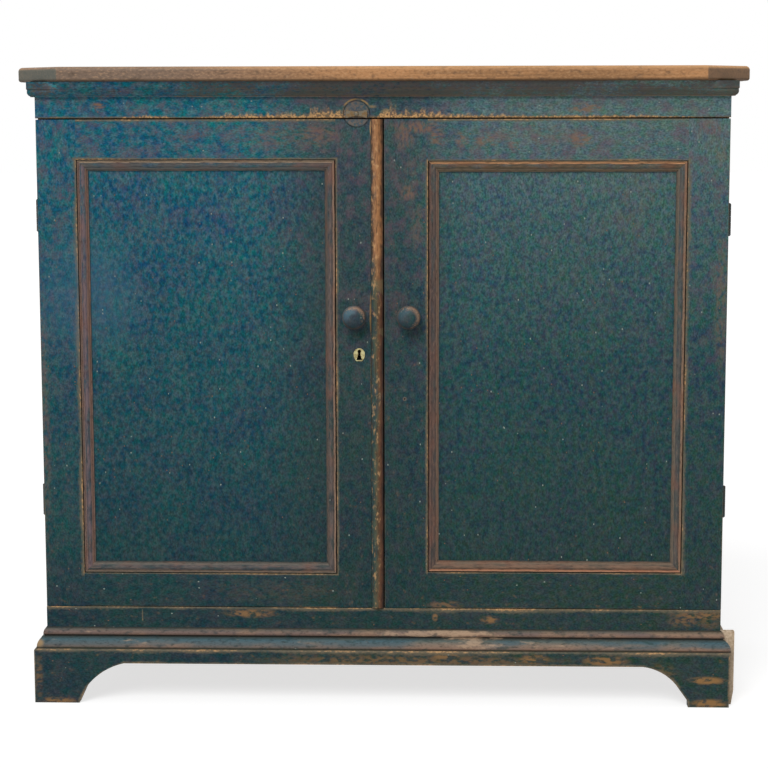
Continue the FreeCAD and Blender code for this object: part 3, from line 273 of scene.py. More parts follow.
def paint_and_light_colour(surface):
    """The paint's plain colour: bluer on the left, duller at the meeting edges, darker towards the floor,
    partly as painted shade.
    """
    up = surface.math("DIVIDE", surface.axis("Z"), CASE_TOP)
    left, middle, right = (surface.bands(up, list(zip(PAINT_HEIGHTS, shades)))
                           for shades in (PAINT_AND_LIGHT_LEFT, PAINT_AND_LIGHT_MIDDLE, PAINT_AND_LIGHT_RIGHT))
    across = surface.fade(surface.axis("X"), -0.5 * CASE_SIDE, 0.5 * CASE_SIDE)
    shade = surface.mix(across, left, right)
    near = surface.fade(surface.off("X", -0.05 * CASE_SIDE), 0.36 * CASE_SIDE, 0.08 * CASE_SIDE)
    return surface.mix(near, shade, middle)


def mottled(surface, shade, grain):
    """Varies a colour as brushed, handled paint does, from broad clouds down to fine grain."""
    clouds = surface.noise(85 * MM, detail=2, shift=2)
    tints = surface.noise(9 * MM, along(grain, 1.3), 2, 5)
    greys = surface.noise(8 * MM, along(grain, 1.3), 2, 15)
    fine = surface.noise(2.5 * MM, along(grain, 1.5), 3, 13)
    reach = surface.fade(surface.axis("X"), -0.6 * CASE_SIDE, 0.6 * CASE_SIDE, 0.45, 1)
    tints = surface.times(surface.fade(tints, 0.3, 0.7, -0.058, 0.062), reach)
    hue = surface.plus(tints, surface.fade(clouds, 0.3, 0.7, 0.474, 0.514))
    strength = surface.fade(greys, 0.3, 0.7, 1.25, 0.76)
    light = surface.fade(greys, 0.3, 0.7, 0.92, 1.08)
    light = surface.times(surface.fade(fine, 0.2, 0.8, 0.50, 1.50), light)
    inputs = {"Hue": hue, "Saturation": strength, "Value": light, "Color": shade}
    return surface.node("ShaderNodeHueSaturation", inputs).outputs[0], fine


def paint(surface, grain, spots=(), rub=0.0, plum=0.5):
    """Colour and relief of the old paint, with plum-coloured clouds, rubbed to its undercoat in spots."""
    shade, fine = mottled(surface, paint_and_light_colour(surface), grain)
    broken = surface.fade(surface.noise(2.4 * MM, along(grain, 1.4), 3, 19), 0.3, 0.62, 0.4, 1)
    strength = spot_strength(surface, spots)
    clouds = surface.noise(17 * MM, along(grain, 1.3), 5, 9)
    clouds = surface.plus(clouds, surface.times(strength, 0.10))
    height = surface.fade(surface.axis("Z"), 0.35 * CASE_TOP, 0.95 * CASE_TOP, 0.25 * plum, 1.1 * plum)
    clouds = surface.times(surface.fade(clouds, 0.44, 0.70), height)
    shade = surface.mix(surface.times(clouds, broken), shade, PLUM_TINT)
    patches = surface.noise(8 * MM, along(grain, 1.4), 6, 17)
    level = surface.plus(patches, surface.times(strength, 0.16))
    rubbed = surface.times(surface.fade(level, 0.58 - rub, 0.94 - rub, 0, 0.8), broken)
    torn = surface.fade(surface.noise(5.5 * MM, along(grain, 2.2), 5, 18), 0.40, 0.58, 0.08, 0.9)
    rubbed = surface.math("MAXIMUM", rubbed, surface.times(strength, torn), clamp=True)
    coat = surface.mix(surface.fade(surface.axis("Z"), LOW_FROM, LOW_FROM / 2), UNDERCOAT, LOW_UNDERCOAT)
    shade = surface.mix(rubbed, shade, coat)
    shade = surface.mix(surface.specks(11 * MM, 1.3 * MM, 0.19, along(grain, 1.5)), shade, PALE_SPECK)
    shade = surface.mix(surface.specks(9 * MM, 1.1 * MM, 0.16, along(grain, 1.5)), shade, RED_SPECK)
    return shade, surface.plus(surface.weighted(fine, 0.6, rubbed, -0.3), 0.4)


def worn_through(surface, shade, relief, lines, grain):
    """Adds bare wood along worn lines, with a rubbed brown border."""
    patchy = surface.noise(34 * MM, along(grain, 2.5), 3, 21)
    ragged = surface.noise(3 * MM, along(grain, 2), 4, 23)
    distance = nearest_line(surface, lines)
    distance = surface.minus(distance, surface.fade(patchy, 0.3, 0.7, -0.9, 1.0))
    distance = surface.minus(distance, surface.fade(ragged, 0.25, 0.75, -0.7, 0.7))
    border = surface.fade(distance, 3.2, 0.4, 0, 0.85)
    core = surface.fade(distance, 0.6, -1.0, 0, 0.9)
    wood = surface.mix(surface.fade(ragged, 0.35, 0.65), WORN_WOOD, RUBBED_WOOD)
    shade = surface.mix(border, shade, EDGE_BROWN)
    shade = surface.mix(core, shade, wood)
    return shade, surface.minus(relief, surface.times(core, 0.35))


def behind(surface, shade, axis, place, sense, grain):
    """Bare pine past a place along an axis, where no paint was ever put."""
    bare, _ = pine(surface, grain)
    start = place - sense * 0.6 * MM
    inside = surface.fade(surface.axis(axis), start, start + sense * 0.3 * MM)
    return surface.mix(inside, shade, bare)


def painted(name, grain, lines=(), spots=(), rub=0.0, bare=None, extra=None, plum=0.5):
    """Old paint on a board, with its worn lines, rubbed spots and unpainted inner side."""
    surface = Finish(name)
    shade, relief = paint(surface, grain, spots, rub, plum)
    if lines:
        shade, relief = worn_through(surface, shade, relief, lines, grain)
    if extra:
        shade = extra(surface, shade)
    if bare:
        shade = behind(surface, shade, *bare, grain)
    roughness = surface.fade(surface.noise(14 * MM, detail=3, shift=31), 0.3, 0.7, 0.5, 0.72)
    return surface.finish(shade, roughness, relief, 0.35 * MM, PAINT_SHINE)


def front_line(x0, z0, x1, z1, width):
    """A worn line on the front arris of a piece."""
    return (x0, FACE, z0), (x1, FACE, z1), width


def scar(surface, shade):
    """The circle that the turn button has worn into the paint round its screw."""
    mottle = surface.noise(5 * MM, detail=4, shift=41)
    away = surface.away(BUTTON.x, BUTTON.z)
    inside = surface.fade(away, SCAR_RADIUS, SCAR_RADIUS - 2.5 * MM, 0, 0.7)
    worn = surface.mix(surface.fade(mottle, 0.40, 0.60), (70, 86, 94), (118, 104, 94))
    shade = surface.mix(inside, shade, worn)
    broken = surface.fade(surface.noise(7 * MM, detail=3, shift=45), 0.35, 0.55, 0.35, 1)
    circle = surface.times(ring(surface, BUTTON, SCAR_RADIUS, 1.6 * MM), broken)
    shade = surface.mix(surface.times(circle, 0.75), shade, GRIME_AND_SHADE)
    above = surface.fade(surface.axis("Z"), BUTTON.z + 11 * MM, BUTTON.z + 18 * MM, 0, 0.9)
    arc = surface.times(ring(surface, BUTTON, SCAR_RADIUS + 2.4 * MM, 2.0 * MM), above)
    shade = surface.mix(surface.times(arc, broken), shade, (158, 128, 82))
    tail = spot_strength(surface, [(BUTTON.x + 27 * MM, BUTTON.z + 12 * MM, 8 * MM, 3 * MM, 0.6),
                                   (BUTTON.x + 48 * MM, BUTTON.z + 5 * MM, 7 * MM, 5 * MM, 0.6)])
    return surface.mix(surface.times(tail, broken), shade, (156, 130, 92))


# Worn stretches of the frieze's lower edge: centre X, half its length and how far it reaches up
FRIEZE_WEAR = [
    (-0.392, 0.052, 0.005), (-0.200, 0.120, 0.008), (-0.085, 0.060, 0.015), (0.013, 0.022, 0.019),
    (0.068, 0.056, 0.013), (0.150, 0.090, 0.007), (0.330, 0.240, 0.004),
]


def feathered(surface, shade):
    """Bare wood that runs up from the frieze's lower edge in uneven peaks, and the mark of the button."""
    rise = surface.minus(surface.axis("Z"), FRIEZE_BOTTOM)
    reach = 0
    for x, half, height in FRIEZE_WEAR:
        stretch = surface.fade(surface.off("X", x), half, 0.45 * half, 0, height)
        reach = surface.math("MAXIMUM", reach, stretch)
    peaks = surface.noise(8 * MM, along("z", 3), 3, 47)
    reach = surface.times(reach, surface.fade(peaks, 0.32, 0.68, 0.45, 1.25))
    share = surface.math("DIVIDE", rise, surface.math("MAXIMUM", reach, 0.2 * MM))
    grit = surface.noise(3.4 * MM, detail=4, shift=49)
    worn = surface.times(surface.fade(share, 1.35, 0.2), surface.fade(grit, 0.3, 0.6, 0.45, 0.95))
    wood = surface.mix(surface.fade(grit, 0.42, 0.62), WORN_WOOD, (206, 160, 106))
    # Painted light along the top of the frieze, where the moulding above shades it
    under = surface.fade(surface.axis("Z"), MOULDING_BOTTOM - 9 * MM, MOULDING_BOTTOM, 1, 1.6)
    return scar(surface, surface.mix(worn, surface.lighten(shade, under), wood))


# Bare wood beside the bead: its height, half its width and height, its strength and its colour
BESIDE_BEAD = [
    (DOOR_TOP - 14 * MM, 2.4 * MM, 15 * MM, 0.9, (200, 160, 112)),
    (HAND_HEIGHT + 2 * MM, 3.6 * MM, 42 * MM, 0.8, (150, 116, 70)),
    (0.560, 2.4 * MM, 50 * MM, 0.5, (118, 98, 66)),
]


def meeting_marks(surface, shade):
    """The mark of the button, and bare wood beside the bead at its top and where hands reach for it."""
    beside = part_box("left_door_bead")[0].x
    broken = surface.fade(surface.noise(4 * MM, along("z", 2), 3, 57), 0.35, 0.6, 0.3, 1)
    for height, wide, high, strength, tint in BESIDE_BEAD:
        near = surface.fade(surface.away(beside, height, wide, high), 1.1, 0.6, 0, strength)
        shade = surface.mix(surface.times(near, broken), shade, tint)
    return scar(surface, shade)


def nail_marks(surface, shade):
    """A rusty edge round the nail hole, and a filled one above it."""
    for rise, radius, tint in ((0, 4.5 * MM, (126, 112, 100)), (15 * MM, 4 * MM, (78, 84, 86))):
        away = surface.away(NAIL_HOLE_X, NAIL_HOLE_Z + rise)
        shade = surface.mix(surface.fade(away, radius, radius * 0.4, 0, 0.7), shade, tint)
    return shade


def painted_glare(surface, shade):
    """Painted glare: a soft bluish reflection of light across the left door's hinge side."""
    near = surface.fade(surface.away(GLARE_X, GLARE_Z, 1, 1 / 0.85), 130 * MM, 15 * MM, 0, 0.32)
    patchy = surface.fade(surface.noise(20 * MM, detail=4, shift=43), 0.3, 0.6, 0.6, 1)
    return surface.mix(surface.times(near, patchy), shade, (72, 112, 134))


# Doors

INSIDE = ("Y", DOOR_BACK, 1)  # where the paint of the fronts ends

# Rubbed places on each door: centre X and Z, two radii and a strength
LEFT_SPOTS = [
    (-0.175, 0.970, 0.100, 0.026, 0.35), (-0.106, 0.974, 0.046, 0.022, 0.55),
    (-0.330, 0.972, 0.035, 0.012, 0.35), (-0.040, 0.700, 0.022, 0.030, 0.15),
    (-0.180, 0.195, 0.150, 0.025, 0.14), (-0.575, 0.500, 0.010, 0.300, 0.35),
]
RIGHT_SPOTS = [
    (0.038, 0.968, 0.022, 0.022, 0.6), (0.092, 0.970, 0.016, 0.020, 0.8), (0.135, 0.966, 0.014, 0.016, 0.8),
    (0.176, 0.963, 0.026, 0.011, 0.9), (0.220, 0.956, 0.012, 0.010, 0.6), (0.332, 0.966, 0.026, 0.016, 0.85),
    (0.250, 0.972, 0.140, 0.020, 0.25), (0.045, 0.878, 0.016, 0.016, 0.7), (0.050, 0.905, 0.030, 0.050, 0.2),
    (0.060, 0.986, 0.052, 0.012, 0.85), (0.060, 0.820, 0.016, 0.050, 0.3), (0.570, 0.700, 0.014, 0.160, 0.4),
    (0.545, 0.985, 0.030, 0.016, 0.3), (0.565, 0.940, 0.016, 0.030, 0.3), (0.108, 0.172, 0.034, 0.009, 0.7),
    (0.030, 0.690, 0.030, 0.030, 0.15), (0.420, 0.860, 0.050, 0.100, 0.12),
]


def door_finishes(door, side, spots):
    """The paint of one door's frame and panel. A side of -1 is the left door and 1 the right."""
    parts = ("hinge_stile", "meeting_stile", "top_rail", "bottom_rail", "panel")
    hinge_stile, meeting_stile, top_rail, bottom_rail, panel = (door + "_door_" + part for part in parts)
    outer, open_hinge = (corner.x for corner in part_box(hinge_stile)[::-side])
    open_meeting, meeting = (corner.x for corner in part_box(meeting_stile)[::-side])
    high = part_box(top_rail)[0].z
    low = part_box(bottom_rail)[1].z
    glare, marks, mark = (painted_glare, meeting_marks, scar) if side < 0 else (None, nail_marks, None)
    return [
        painted(hinge_stile, "z", [
            front_line(outer, DOOR_BOTTOM, outer, DOOR_TOP, 0.5 * MM),
            front_line(open_hinge, low, open_hinge, high, 2.24 * MM),
        ], spots, 0.0, INSIDE, glare),
        painted(meeting_stile, "z", [
            front_line(meeting, DOOR_BOTTOM, meeting, DOOR_TOP, 0.4 * MM),
            front_line(open_meeting, low, open_meeting, high, 1.44 * MM),
        ], spots, 0.01, INSIDE, marks),
        painted(top_rail, "x", [
            front_line(outer, DOOR_TOP, meeting, DOOR_TOP, 1.6 * MM),
            front_line(open_hinge, high, open_meeting, high, 1.2 * MM),
        ], spots, 0.02, INSIDE, mark),
        painted(bottom_rail, "x", [
            front_line(outer, DOOR_BOTTOM, meeting, DOOR_BOTTOM, 0.5 * MM),
            front_line(open_hinge, low, open_meeting, low, 0.88 * MM),
        ], spots, 0.0, INSIDE),
        painted(panel, "z", (), spots, -0.02, ("Y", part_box(panel)[1].y, 1), glare, 0.3),
    ]


# Panel mouldings

# The axis across each moulding, and its sense from the frame to the panel
ACROSS = {"left": ("x", 1), "right": ("x", -1), "top": ("z", -1), "bottom": ("z", 1)}

# Worn colours of each moulding: its quirk, partly painted shade in the groove, its bead, its body and its
# inner fillet
MOULDING_COLOURS = {
    "left": {
        "left": ((86, 72, 64), (130, 108, 98), (112, 96, 100), (138, 110, 98)),
        "right": (GRIME_AND_SHADE, (150, 124, 106), (98, 88, 84), (92, 84, 78)),
        "top": ((84, 76, 64), (176, 154, 130), (90, 88, 86), (128, 126, 120)),
        "bottom": ((92, 86, 76), (106, 92, 80), (92, 86, 84), (98, 94, 88)),
    },
    "right": {
        "left": ((48, 34, 26), (112, 92, 84), (92, 76, 70), (136, 112, 96)),
        "right": ((84, 68, 54), (148, 122, 102), (88, 84, 80), (112, 102, 90)),
        "top": ((120, 98, 74), (212, 160, 116), (94, 80, 62), (142, 126, 104)),
        "bottom": ((88, 72, 58), (166, 120, 94), (122, 97, 80), (112, 96, 82)),
    },
}
PAINT_KEPT = {"left": 0.7, "right": 0.45}  # how strongly paint remains on each door's mouldings
PANEL_LINE = (56, 68, 68)


def panel_moulding(door, place):
    """Worn moulding whose colours run in lines along it, from the frame's side to the panel's."""
    node = door + "_door_panel_moulding_" + place
    surface = Finish(node)
    axis, sense = ACROSS[place]
    start, end = (getattr(corner, axis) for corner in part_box(node)[::sense])
    wobble = surface.fade(surface.noise(30 * MM, detail=2, shift=3), 0.2, 0.8, -0.03, 0.03)
    share = surface.math("DIVIDE", surface.minus(surface.axis(axis.upper()), start), end - start)
    share = surface.plus(share, wobble)
    quirk, bead, body, fillet = MOULDING_COLOURS[door][place]
    # dark, deep and inner are painted shade, in the hollows between the members and where the moulding meets
    # the panel
    dark = tuple(part * 0.76 for part in body)
    deep = tuple(part * 0.90 for part in body)
    inner = tuple(part * 0.80 for part in fillet)
    shade = surface.bands(share, [
        (0.0, quirk), (0.07, quirk), (0.11, bead), (0.22, bead), (0.27, deep), (0.34, dark), (0.42, body),
        (0.60, body), (0.68, deep), (0.74, fillet), (0.88, fillet), (0.93, inner), (1.0, PANEL_LINE),
    ])
    grain = "z" if axis == "x" else "x"
    old, relief = paint(surface, grain)
    remains = surface.noise(12 * MM, along(grain, 3), 4, 51)
    between = surface.times(surface.fade(share, 0.20, 0.30), surface.fade(share, 0.78, 0.68))
    kept = surface.fade(remains, 0.42, 0.62, 0.05, PAINT_KEPT[door])
    shade = surface.mix(surface.times(kept, between), shade, old)
    streaks = surface.noise(2.0 * MM, along(grain, 5), 4, 53)
    shade = surface.mix(surface.fade(streaks, 0.5, 0.25, 0, 0.6), shade, (40, 34, 34))
    shade = surface.mix(surface.fade(streaks, 0.54, 0.75, 0, 0.3), shade, (160, 122, 96))
    redder = surface.noise(26 * MM, along(grain, 2), 3, 55)
    shade = surface.mix(surface.fade(redder, 0.5, 0.72, 0, 0.3), shade, (140, 88, 66))
    return surface.finish(shade, WORN_ROUGHNESS, relief, RELIEF, PAINT_SHINE)


# Painted boards of the case and the plinth

FRIEZE_SPOTS = [
    (-0.473, FRIEZE_BOTTOM + 21 * MM, 0.014, 0.006, 1.1),
    (0.340, FRIEZE_BOTTOM + 16 * MM, 0.036, 0.011, 0.9),
]
RAIL_SPOTS = [
    (-0.225, RAIL_TOP - 10 * MM, 0.052, 0.009, 1.0), (0.091, RAIL_TOP - 15 * MM, 0.006, 0.008, 1.0),
    (0.185, RAIL_TOP - 19 * MM, 0.018, 0.008, 1.0), (0.545, RAIL_TOP - 9 * MM, 0.060, 0.010, 0.9),
    (0.516, RAIL_TOP - 20 * MM, 0.030, 0.012, 0.6), (0.560, RAIL_TOP - 18 * MM, 0.024, 0.020, 0.4),
]
RAIL_LINES = [
    front_line(-CASE_SIDE, RAIL_TOP, CASE_SIDE, RAIL_TOP, 1.9 * MM),
    front_line(0.02, RAIL_TOP - 0.6 * MM, CASE_SIDE, RAIL_TOP - 0.6 * MM, 2.4 * MM),
    front_line(-0.27, RAIL_TOP, -0.17, RAIL_TOP, 1.5 * MM),
    front_line(-0.414, RAIL_TOP - 5 * MM, -0.414, RAIL_TOP - 24 * MM, 0.6 * MM),
]
PLINTH_SPOTS = [
    (0.260, 0.082, 0.032, 0.010, 1.0), (0.382, 0.080, 0.045, 0.012, 1.0), (0.556, 0.047, 0.036, 0.008, 1.3),
    (0.560, 0.006, 0.035, 0.010, 1.4), (-0.560, 0.004, 0.040, 0.007, 0.9), (0.108, 0.088, 0.035, 0.010, 0.9),
    (0.050, 0.079, 0.300, 0.012, 0.55), (0.478, 0.060, 0.030, 0.020, 0.4),
    (-0.592, 0.045, 0.008, 0.045, 0.5),
]

# The front arch in shares of the board's length and height
FRONT_ARCH = [
    (0.0645, 0), (0.0756, 0.30), (0.097, 0.56), (0.130, 0.74), (0.876, 0.74), (0.904, 0.63), (0.924, 0.415),
    (0.9416, 0.10), (0.9416, 0),
]


def side_finish(node, side):
    """The paint of a side board, worn down its front and rear arrises. A side of -1 is the left."""
    low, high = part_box(node)
    outer = side * CASE_SIDE
    return painted(node, "z", [
        ((outer, low.y, low.z), (outer, low.y, high.z), 1.0 * MM),
        ((outer, high.y, low.z), (outer, high.y, high.z), 1.2 * MM),
    ], (), 0.0, ("X", side * (CASE_SIDE - 1 * MM), -side))


def plinth_front_finish(node):
    """The paint of the plinth's front, worn along its arch, its top edge and both ends."""
    low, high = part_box(node)
    arch = [(low.x + across * (high.x - low.x), low.y, up * PLINTH_TOP) for across, up in FRONT_ARCH]
    lines = [(start, end, 1.5 * MM) for start, end in zip(arch, arch[1:])]
    lines.append(((low.x, low.y, PLINTH_TOP), (high.x, low.y, PLINTH_TOP), 2.3 * MM))
    for x in (high.x, low.x):
        lines.append(((x, low.y, 0), (x, low.y, PLINTH_TOP), 1.0 * MM))
    return painted(node, "x", lines, PLINTH_SPOTS)


def plinth_side_finish(node):
    """The paint of the plinth's left board, worn along its top and bottom edges."""
    low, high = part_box(node)
    return painted(node, "y", [
        ((low.x, low.y, PLINTH_TOP), (low.x, high.y, PLINTH_TOP), 1.4 * MM),
        ((low.x, low.y, 0), (low.x, high.y, 0), 1.2 * MM),
    ])


# Top and base mouldings

def height_share(surface, node):
    """Where a point lies between the bottom of a piece, 0, and its top, 1."""
    low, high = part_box(node)
    return surface.math("DIVIDE", surface.minus(surface.axis("Z"), low.z), high.z - low.z)


def top_moulding(node, grain):
    """Painted, teal at the left and rubbed to a dark brown towards the middle, with painted shade in its
    quirk and painted light.
    """
    surface = Finish(node)
    shade, relief = paint(surface, grain, (), 0.02)
    share = height_share(surface, node)
    brown = surface.bands(share, [
        (0.0, (104, 84, 66)), (0.07, (94, 82, 68)), (0.20, (72, 70, 62)), (0.36, (80, 74, 64)),
        (0.43, (84, 78, 70)), (0.54, (92, 78, 66)), (0.62, (74, 68, 64)), (1.0, (66, 62, 60)),
    ])
    patchy = surface.noise(40 * MM, along(grain, 3), 4, 61)
    teal = surface.plus(surface.fade(surface.axis("X"), -0.16, -0.46, 0, 0.22),
                        surface.fade(surface.off("X", 0.08), 0.22, 0.50, 0, 0.10))
    level = surface.minus(surface.plus(patchy, 0.16), teal)
    flecks = surface.noise(3.2 * MM, along(grain, 2), 4, 63)
    level = surface.plus(level, surface.fade(flecks, 0.3, 0.7, -0.14, 0.14))
    shade = surface.mix(surface.fade(level, 0.40, 0.68, 0.05, 0.85), shade, brown)
    shade = surface.mix(surface.fade(flecks, 0.5, 0.3, 0, 0.45), shade, (30, 40, 44))
    # Painted shade in the quirk, a groove where shade falls
    quirk = surface.times(surface.fade(share, 0.38, 0.42), surface.fade(share, 0.54, 0.50))
    shade = surface.mix(surface.times(quirk, 0.10), shade, GRIME_AND_SHADE)
    # Painted light: the fascia is brightened where the top's overhang shades it, all but the ends by the
    # canted corners, and the lower edge, which faces down, is brightened too
    under_overhang = surface.fade(surface.off("X", 0), CASE_SIDE - 12 * MM, CASE_SIDE - 48 * MM)
    painted_light = surface.plus(surface.fade(share, 0.36, 0.46, 0, 0.5), surface.fade(share, 0.50, 0.80, 0, 1.2))
    painted_light = surface.plus(surface.times(painted_light, under_overhang), surface.fade(share, 0.30, 0.0, 0.9, 1.5))
    return surface.finish(surface.lighten(shade, painted_light), WORN_ROUGHNESS, relief, RELIEF, PAINT_SHINE)


# Bright places of the base moulding, and a chip at its left end: centre X and Z, two radii and a strength
BASE_SPOTS = [
    (0.156, 0.108, 0.060, 0.016, 0.28), (0.100, 0.123, 0.140, 0.009, 0.30),
    (0.270, 0.106, 0.080, 0.010, 0.12), (-0.440, 0.106, 0.050, 0.008, 0.06),
]
BASE_CHIP = [(-0.592, 0.104, 0.010, 0.008, 1.3)]


def base_moulding(node, grain):
    """The upper member is worn pink at its lower edge, and the lower one in patches to the right."""
    surface = Finish(node)
    old, relief = paint(surface, grain)
    share = height_share(surface, node)
    # In both ramps the dark band from 0.54 to 0.63 is painted shadow at the step between the two members.
    shade = surface.bands(share, [
        (0.0, (48, 50, 40)), (0.06, (60, 58, 48)), (0.12, (104, 96, 90)), (0.24, (86, 94, 96)),
        (0.44, (64, 90, 98)), (0.54, (52, 64, 64)), (0.58, (38, 38, 33)), (0.63, (40, 36, 31)),
        (0.69, (104, 86, 78)), (0.78, (116, 98, 92)), (0.90, (88, 84, 78)), (0.97, (48, 50, 46)),
    ])
    patchy = surface.noise(24 * MM, along(grain, 4), 4, 71)
    right = surface.fade(surface.axis("X"), -0.35, 0.20, 0, 0.12)
    pink = surface.bands(share, [
        (0.0, (50, 46, 38)), (0.06, (76, 58, 46)), (0.12, (136, 110, 94)), (0.28, (128, 110, 96)),
        (0.46, (84, 94, 90)), (0.54, (56, 60, 56)), (0.58, (40, 38, 33)), (0.63, (48, 38, 30)),
        (0.69, (134, 106, 88)), (0.80, (142, 116, 96)), (0.92, (100, 88, 74)), (0.97, (52, 48, 40)),
    ])
    worn = surface.fade(surface.plus(patchy, right), 0.50, 0.70)
    shade = surface.mix(worn, shade, pink)
    glint = surface.plus(surface.noise(9 * MM, along(grain, 3), 4, 73), spot_strength(surface, BASE_SPOTS))
    glint = surface.times(surface.fade(glint, 0.62, 0.82), surface.fade(share, 0.06, 0.14))
    glint = surface.times(glint, surface.fade(share, 0.97, 0.90))
    shade = surface.mix(surface.times(glint, 0.55), shade, (186, 156, 128))
    remains = surface.noise(7 * MM, along(grain, 2), 4, 75)
    shade = surface.mix(surface.fade(remains, 0.5, 0.72, 0, 0.6), shade, old)
    flecks = surface.noise(2.2 * MM, along(grain, 2.5), 3, 77)
    shade = surface.mix(surface.fade(flecks, 0.5, 0.25, 0, 0.45), shade, GRIME_AND_SHADE)
    chip = surface.times(spot_strength(surface, BASE_CHIP), 0.8, clamp=True)
    shade = surface.mix(chip, shade, (148, 124, 92))
    return surface.finish(shade, WORN_ROUGHNESS, relief, RELIEF, PAINT_SHINE)


# Bare wood

def bare_board(name, grain, pale, dark, dirt, shift=0):
    """Unpainted wood with some dirt in it. A shift in metres gives a board a figure of its own."""
    surface = Finish(name)
    surface.place = surface.vector("ADD", surface.place, (shift, shift, shift))
    shade, relief = pine(surface, grain, pale, dark)
    stain = surface.noise(60 * MM, along(grain, 1.5), 4, 81)
    shade = surface.mix(surface.fade(stain, 0.5, 0.75, 0, dirt), shade, (74, 56, 42))
    return surface.finish(shade, WORN_ROUGHNESS, relief, RELIEF, WOOD_SHINE)


def scrubbed_top(node):
    """The bare top: greyer towards the left, dirty at the canted corners, with a few bruises."""
    surface = Finish(node)
    low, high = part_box(node)
    shade, relief = pine(surface, "x", (188, 136, 90), (148, 108, 71))
    depth = surface.minus(surface.axis("Y"), low.y)
    left = surface.times(surface.fade(surface.axis("X"), 0.02, -0.42, 0, 0.85),
                         surface.fade(depth, 160 * MM, 20 * MM, 0.3, 1))
    shade = surface.mix(left, shade, (116, 101, 90))
    bruises = surface.noise(10 * MM, along("x", 1.8), 5, 91)
    shade = surface.mix(surface.fade(bruises, 0.52, 0.74, 0, 0.55), shade, (74, 62, 52))
    grit = surface.noise(3.0 * MM, along("x", 1.8), 4, 93)
    shade = surface.mix(surface.fade(grit, 0.5, 0.25, 0, 0.55), shade, (84, 66, 50))
    shade = surface.mix(surface.fade(grit, 0.5, 0.72, 0, 0.35), shade, (206, 164, 122))
    beside = surface.minus(high.x, surface.off("X", 0))
    cant = surface.fade(surface.plus(depth, beside), CANT + 2.0 * MM, CANT + 0.3 * MM, 0, 0.75)
    tint = surface.mix(surface.fade(surface.axis("X"), -0.1, 0.1), (78, 88, 82), (106, 86, 68))
    shade = surface.mix(cant, shade, tint)
    # Painted highlight on the rounded upper arris, which faces the light, faint at the left
    arris = surface.fade(surface.axis("Z"), high.z - 7 * MM, high.z - 1 * MM, 0, 0.4)
    arris = surface.times(arris, surface.fade(surface.axis("X"), -0.5, -0.1, 0.2, 1))
    shade = surface.mix(arris, shade, (212, 164, 112))
    # Painted shade along the rounded lower arris, which faces down
    under = surface.fade(surface.axis("Z"), low.z + 6.5 * MM, low.z + 1 * MM, 0, 0.6)
    shade = surface.mix(under, shade, (70, 54, 38))
    return surface.finish(shade, HANDLED_ROUGHNESS, relief, FINE_RELIEF, WOOD_SHINE)


# Bead and knobs

def meeting_bead(node):
    """The half-round strip, rubbed golden at the top and browner below, with painted shade at its edges and
    along its right side.
    """
    surface = Finish(node)
    low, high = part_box(node)
    share = surface.math("DIVIDE", surface.minus(surface.axis("X"), low.x), high.x - low.x)
    for size, shift in ((26 * MM, 101), (5 * MM, 109)):
        wobble = surface.noise(size, along("z", 2), 3, shift)
        share = surface.plus(share, surface.fade(wobble, 0.2, 0.8, -0.09, 0.09))
    # Both ramps end dark at the edges and along the right, as painted shade at the gaps and on the side
    # turned from the light
    golden = surface.bands(share, [
        (0.0, (58, 54, 48)), (0.08, (84, 66, 52)), (0.16, (136, 98, 70)), (0.28, (156, 112, 78)),
        (0.58, (164, 115, 74)), (0.78, (142, 98, 62)), (0.90, (98, 68, 46)), (1.0, (60, 44, 34)),
    ])
    brown = surface.bands(share, [
        (0.0, (38, 56, 56)), (0.14, (48, 68, 64)), (0.30, (70, 80, 66)), (0.52, (86, 74, 54)),
        (0.74, (98, 66, 46)), (0.90, (72, 46, 34)), (1.0, (42, 32, 28)),
    ])
    uneven = surface.fade(surface.noise(60 * MM, detail=3, shift=103), 0.3, 0.7, -0.12, 0.12)
    height = surface.plus(surface.axis("Z"), uneven)
    shade = surface.mix(surface.fade(height, 0.62, 0.86), brown, golden)
    from_hands = surface.math("ABSOLUTE", surface.minus(height, HAND_HEIGHT))
    shade = surface.mix(surface.fade(from_hands, 0.05, 0.02, 0, 0.35), shade, (124, 112, 78))
    old, relief = paint(surface, "z")
    remains = surface.noise(13 * MM, along("z", 2.5), 4, 105)
    remains = surface.minus(remains, surface.fade(share, 0.1, 0.6, -0.03, 0.1))
    remains = surface.minus(remains, surface.fade(surface.axis("Z"), 0.55, 0.95, 0, 0.10))
    shade = surface.mix(surface.fade(remains, 0.45, 0.62, 0, 0.75), shade, old)
    streaks = surface.noise(2.2 * MM, along("z", 7), 4, 107)
    shade = surface.mix(surface.fade(streaks, 0.52, 0.28, 0, 0.75), shade, (60, 42, 30))
    flecks = surface.noise(5 * MM, along("z", 1.8), 4, 111)
    bright = surface.times(surface.fade(flecks, 0.52, 0.72, 0, 0.6), surface.fade(share, 0.8, 0.6))
    shade = surface.mix(bright, shade, (204, 160, 112))
    shade = behind(surface, shade, *INSIDE, "z")
    return surface.finish(shade, HANDLED_ROUGHNESS, relief, RELIEF, HANDLED_SHINE)


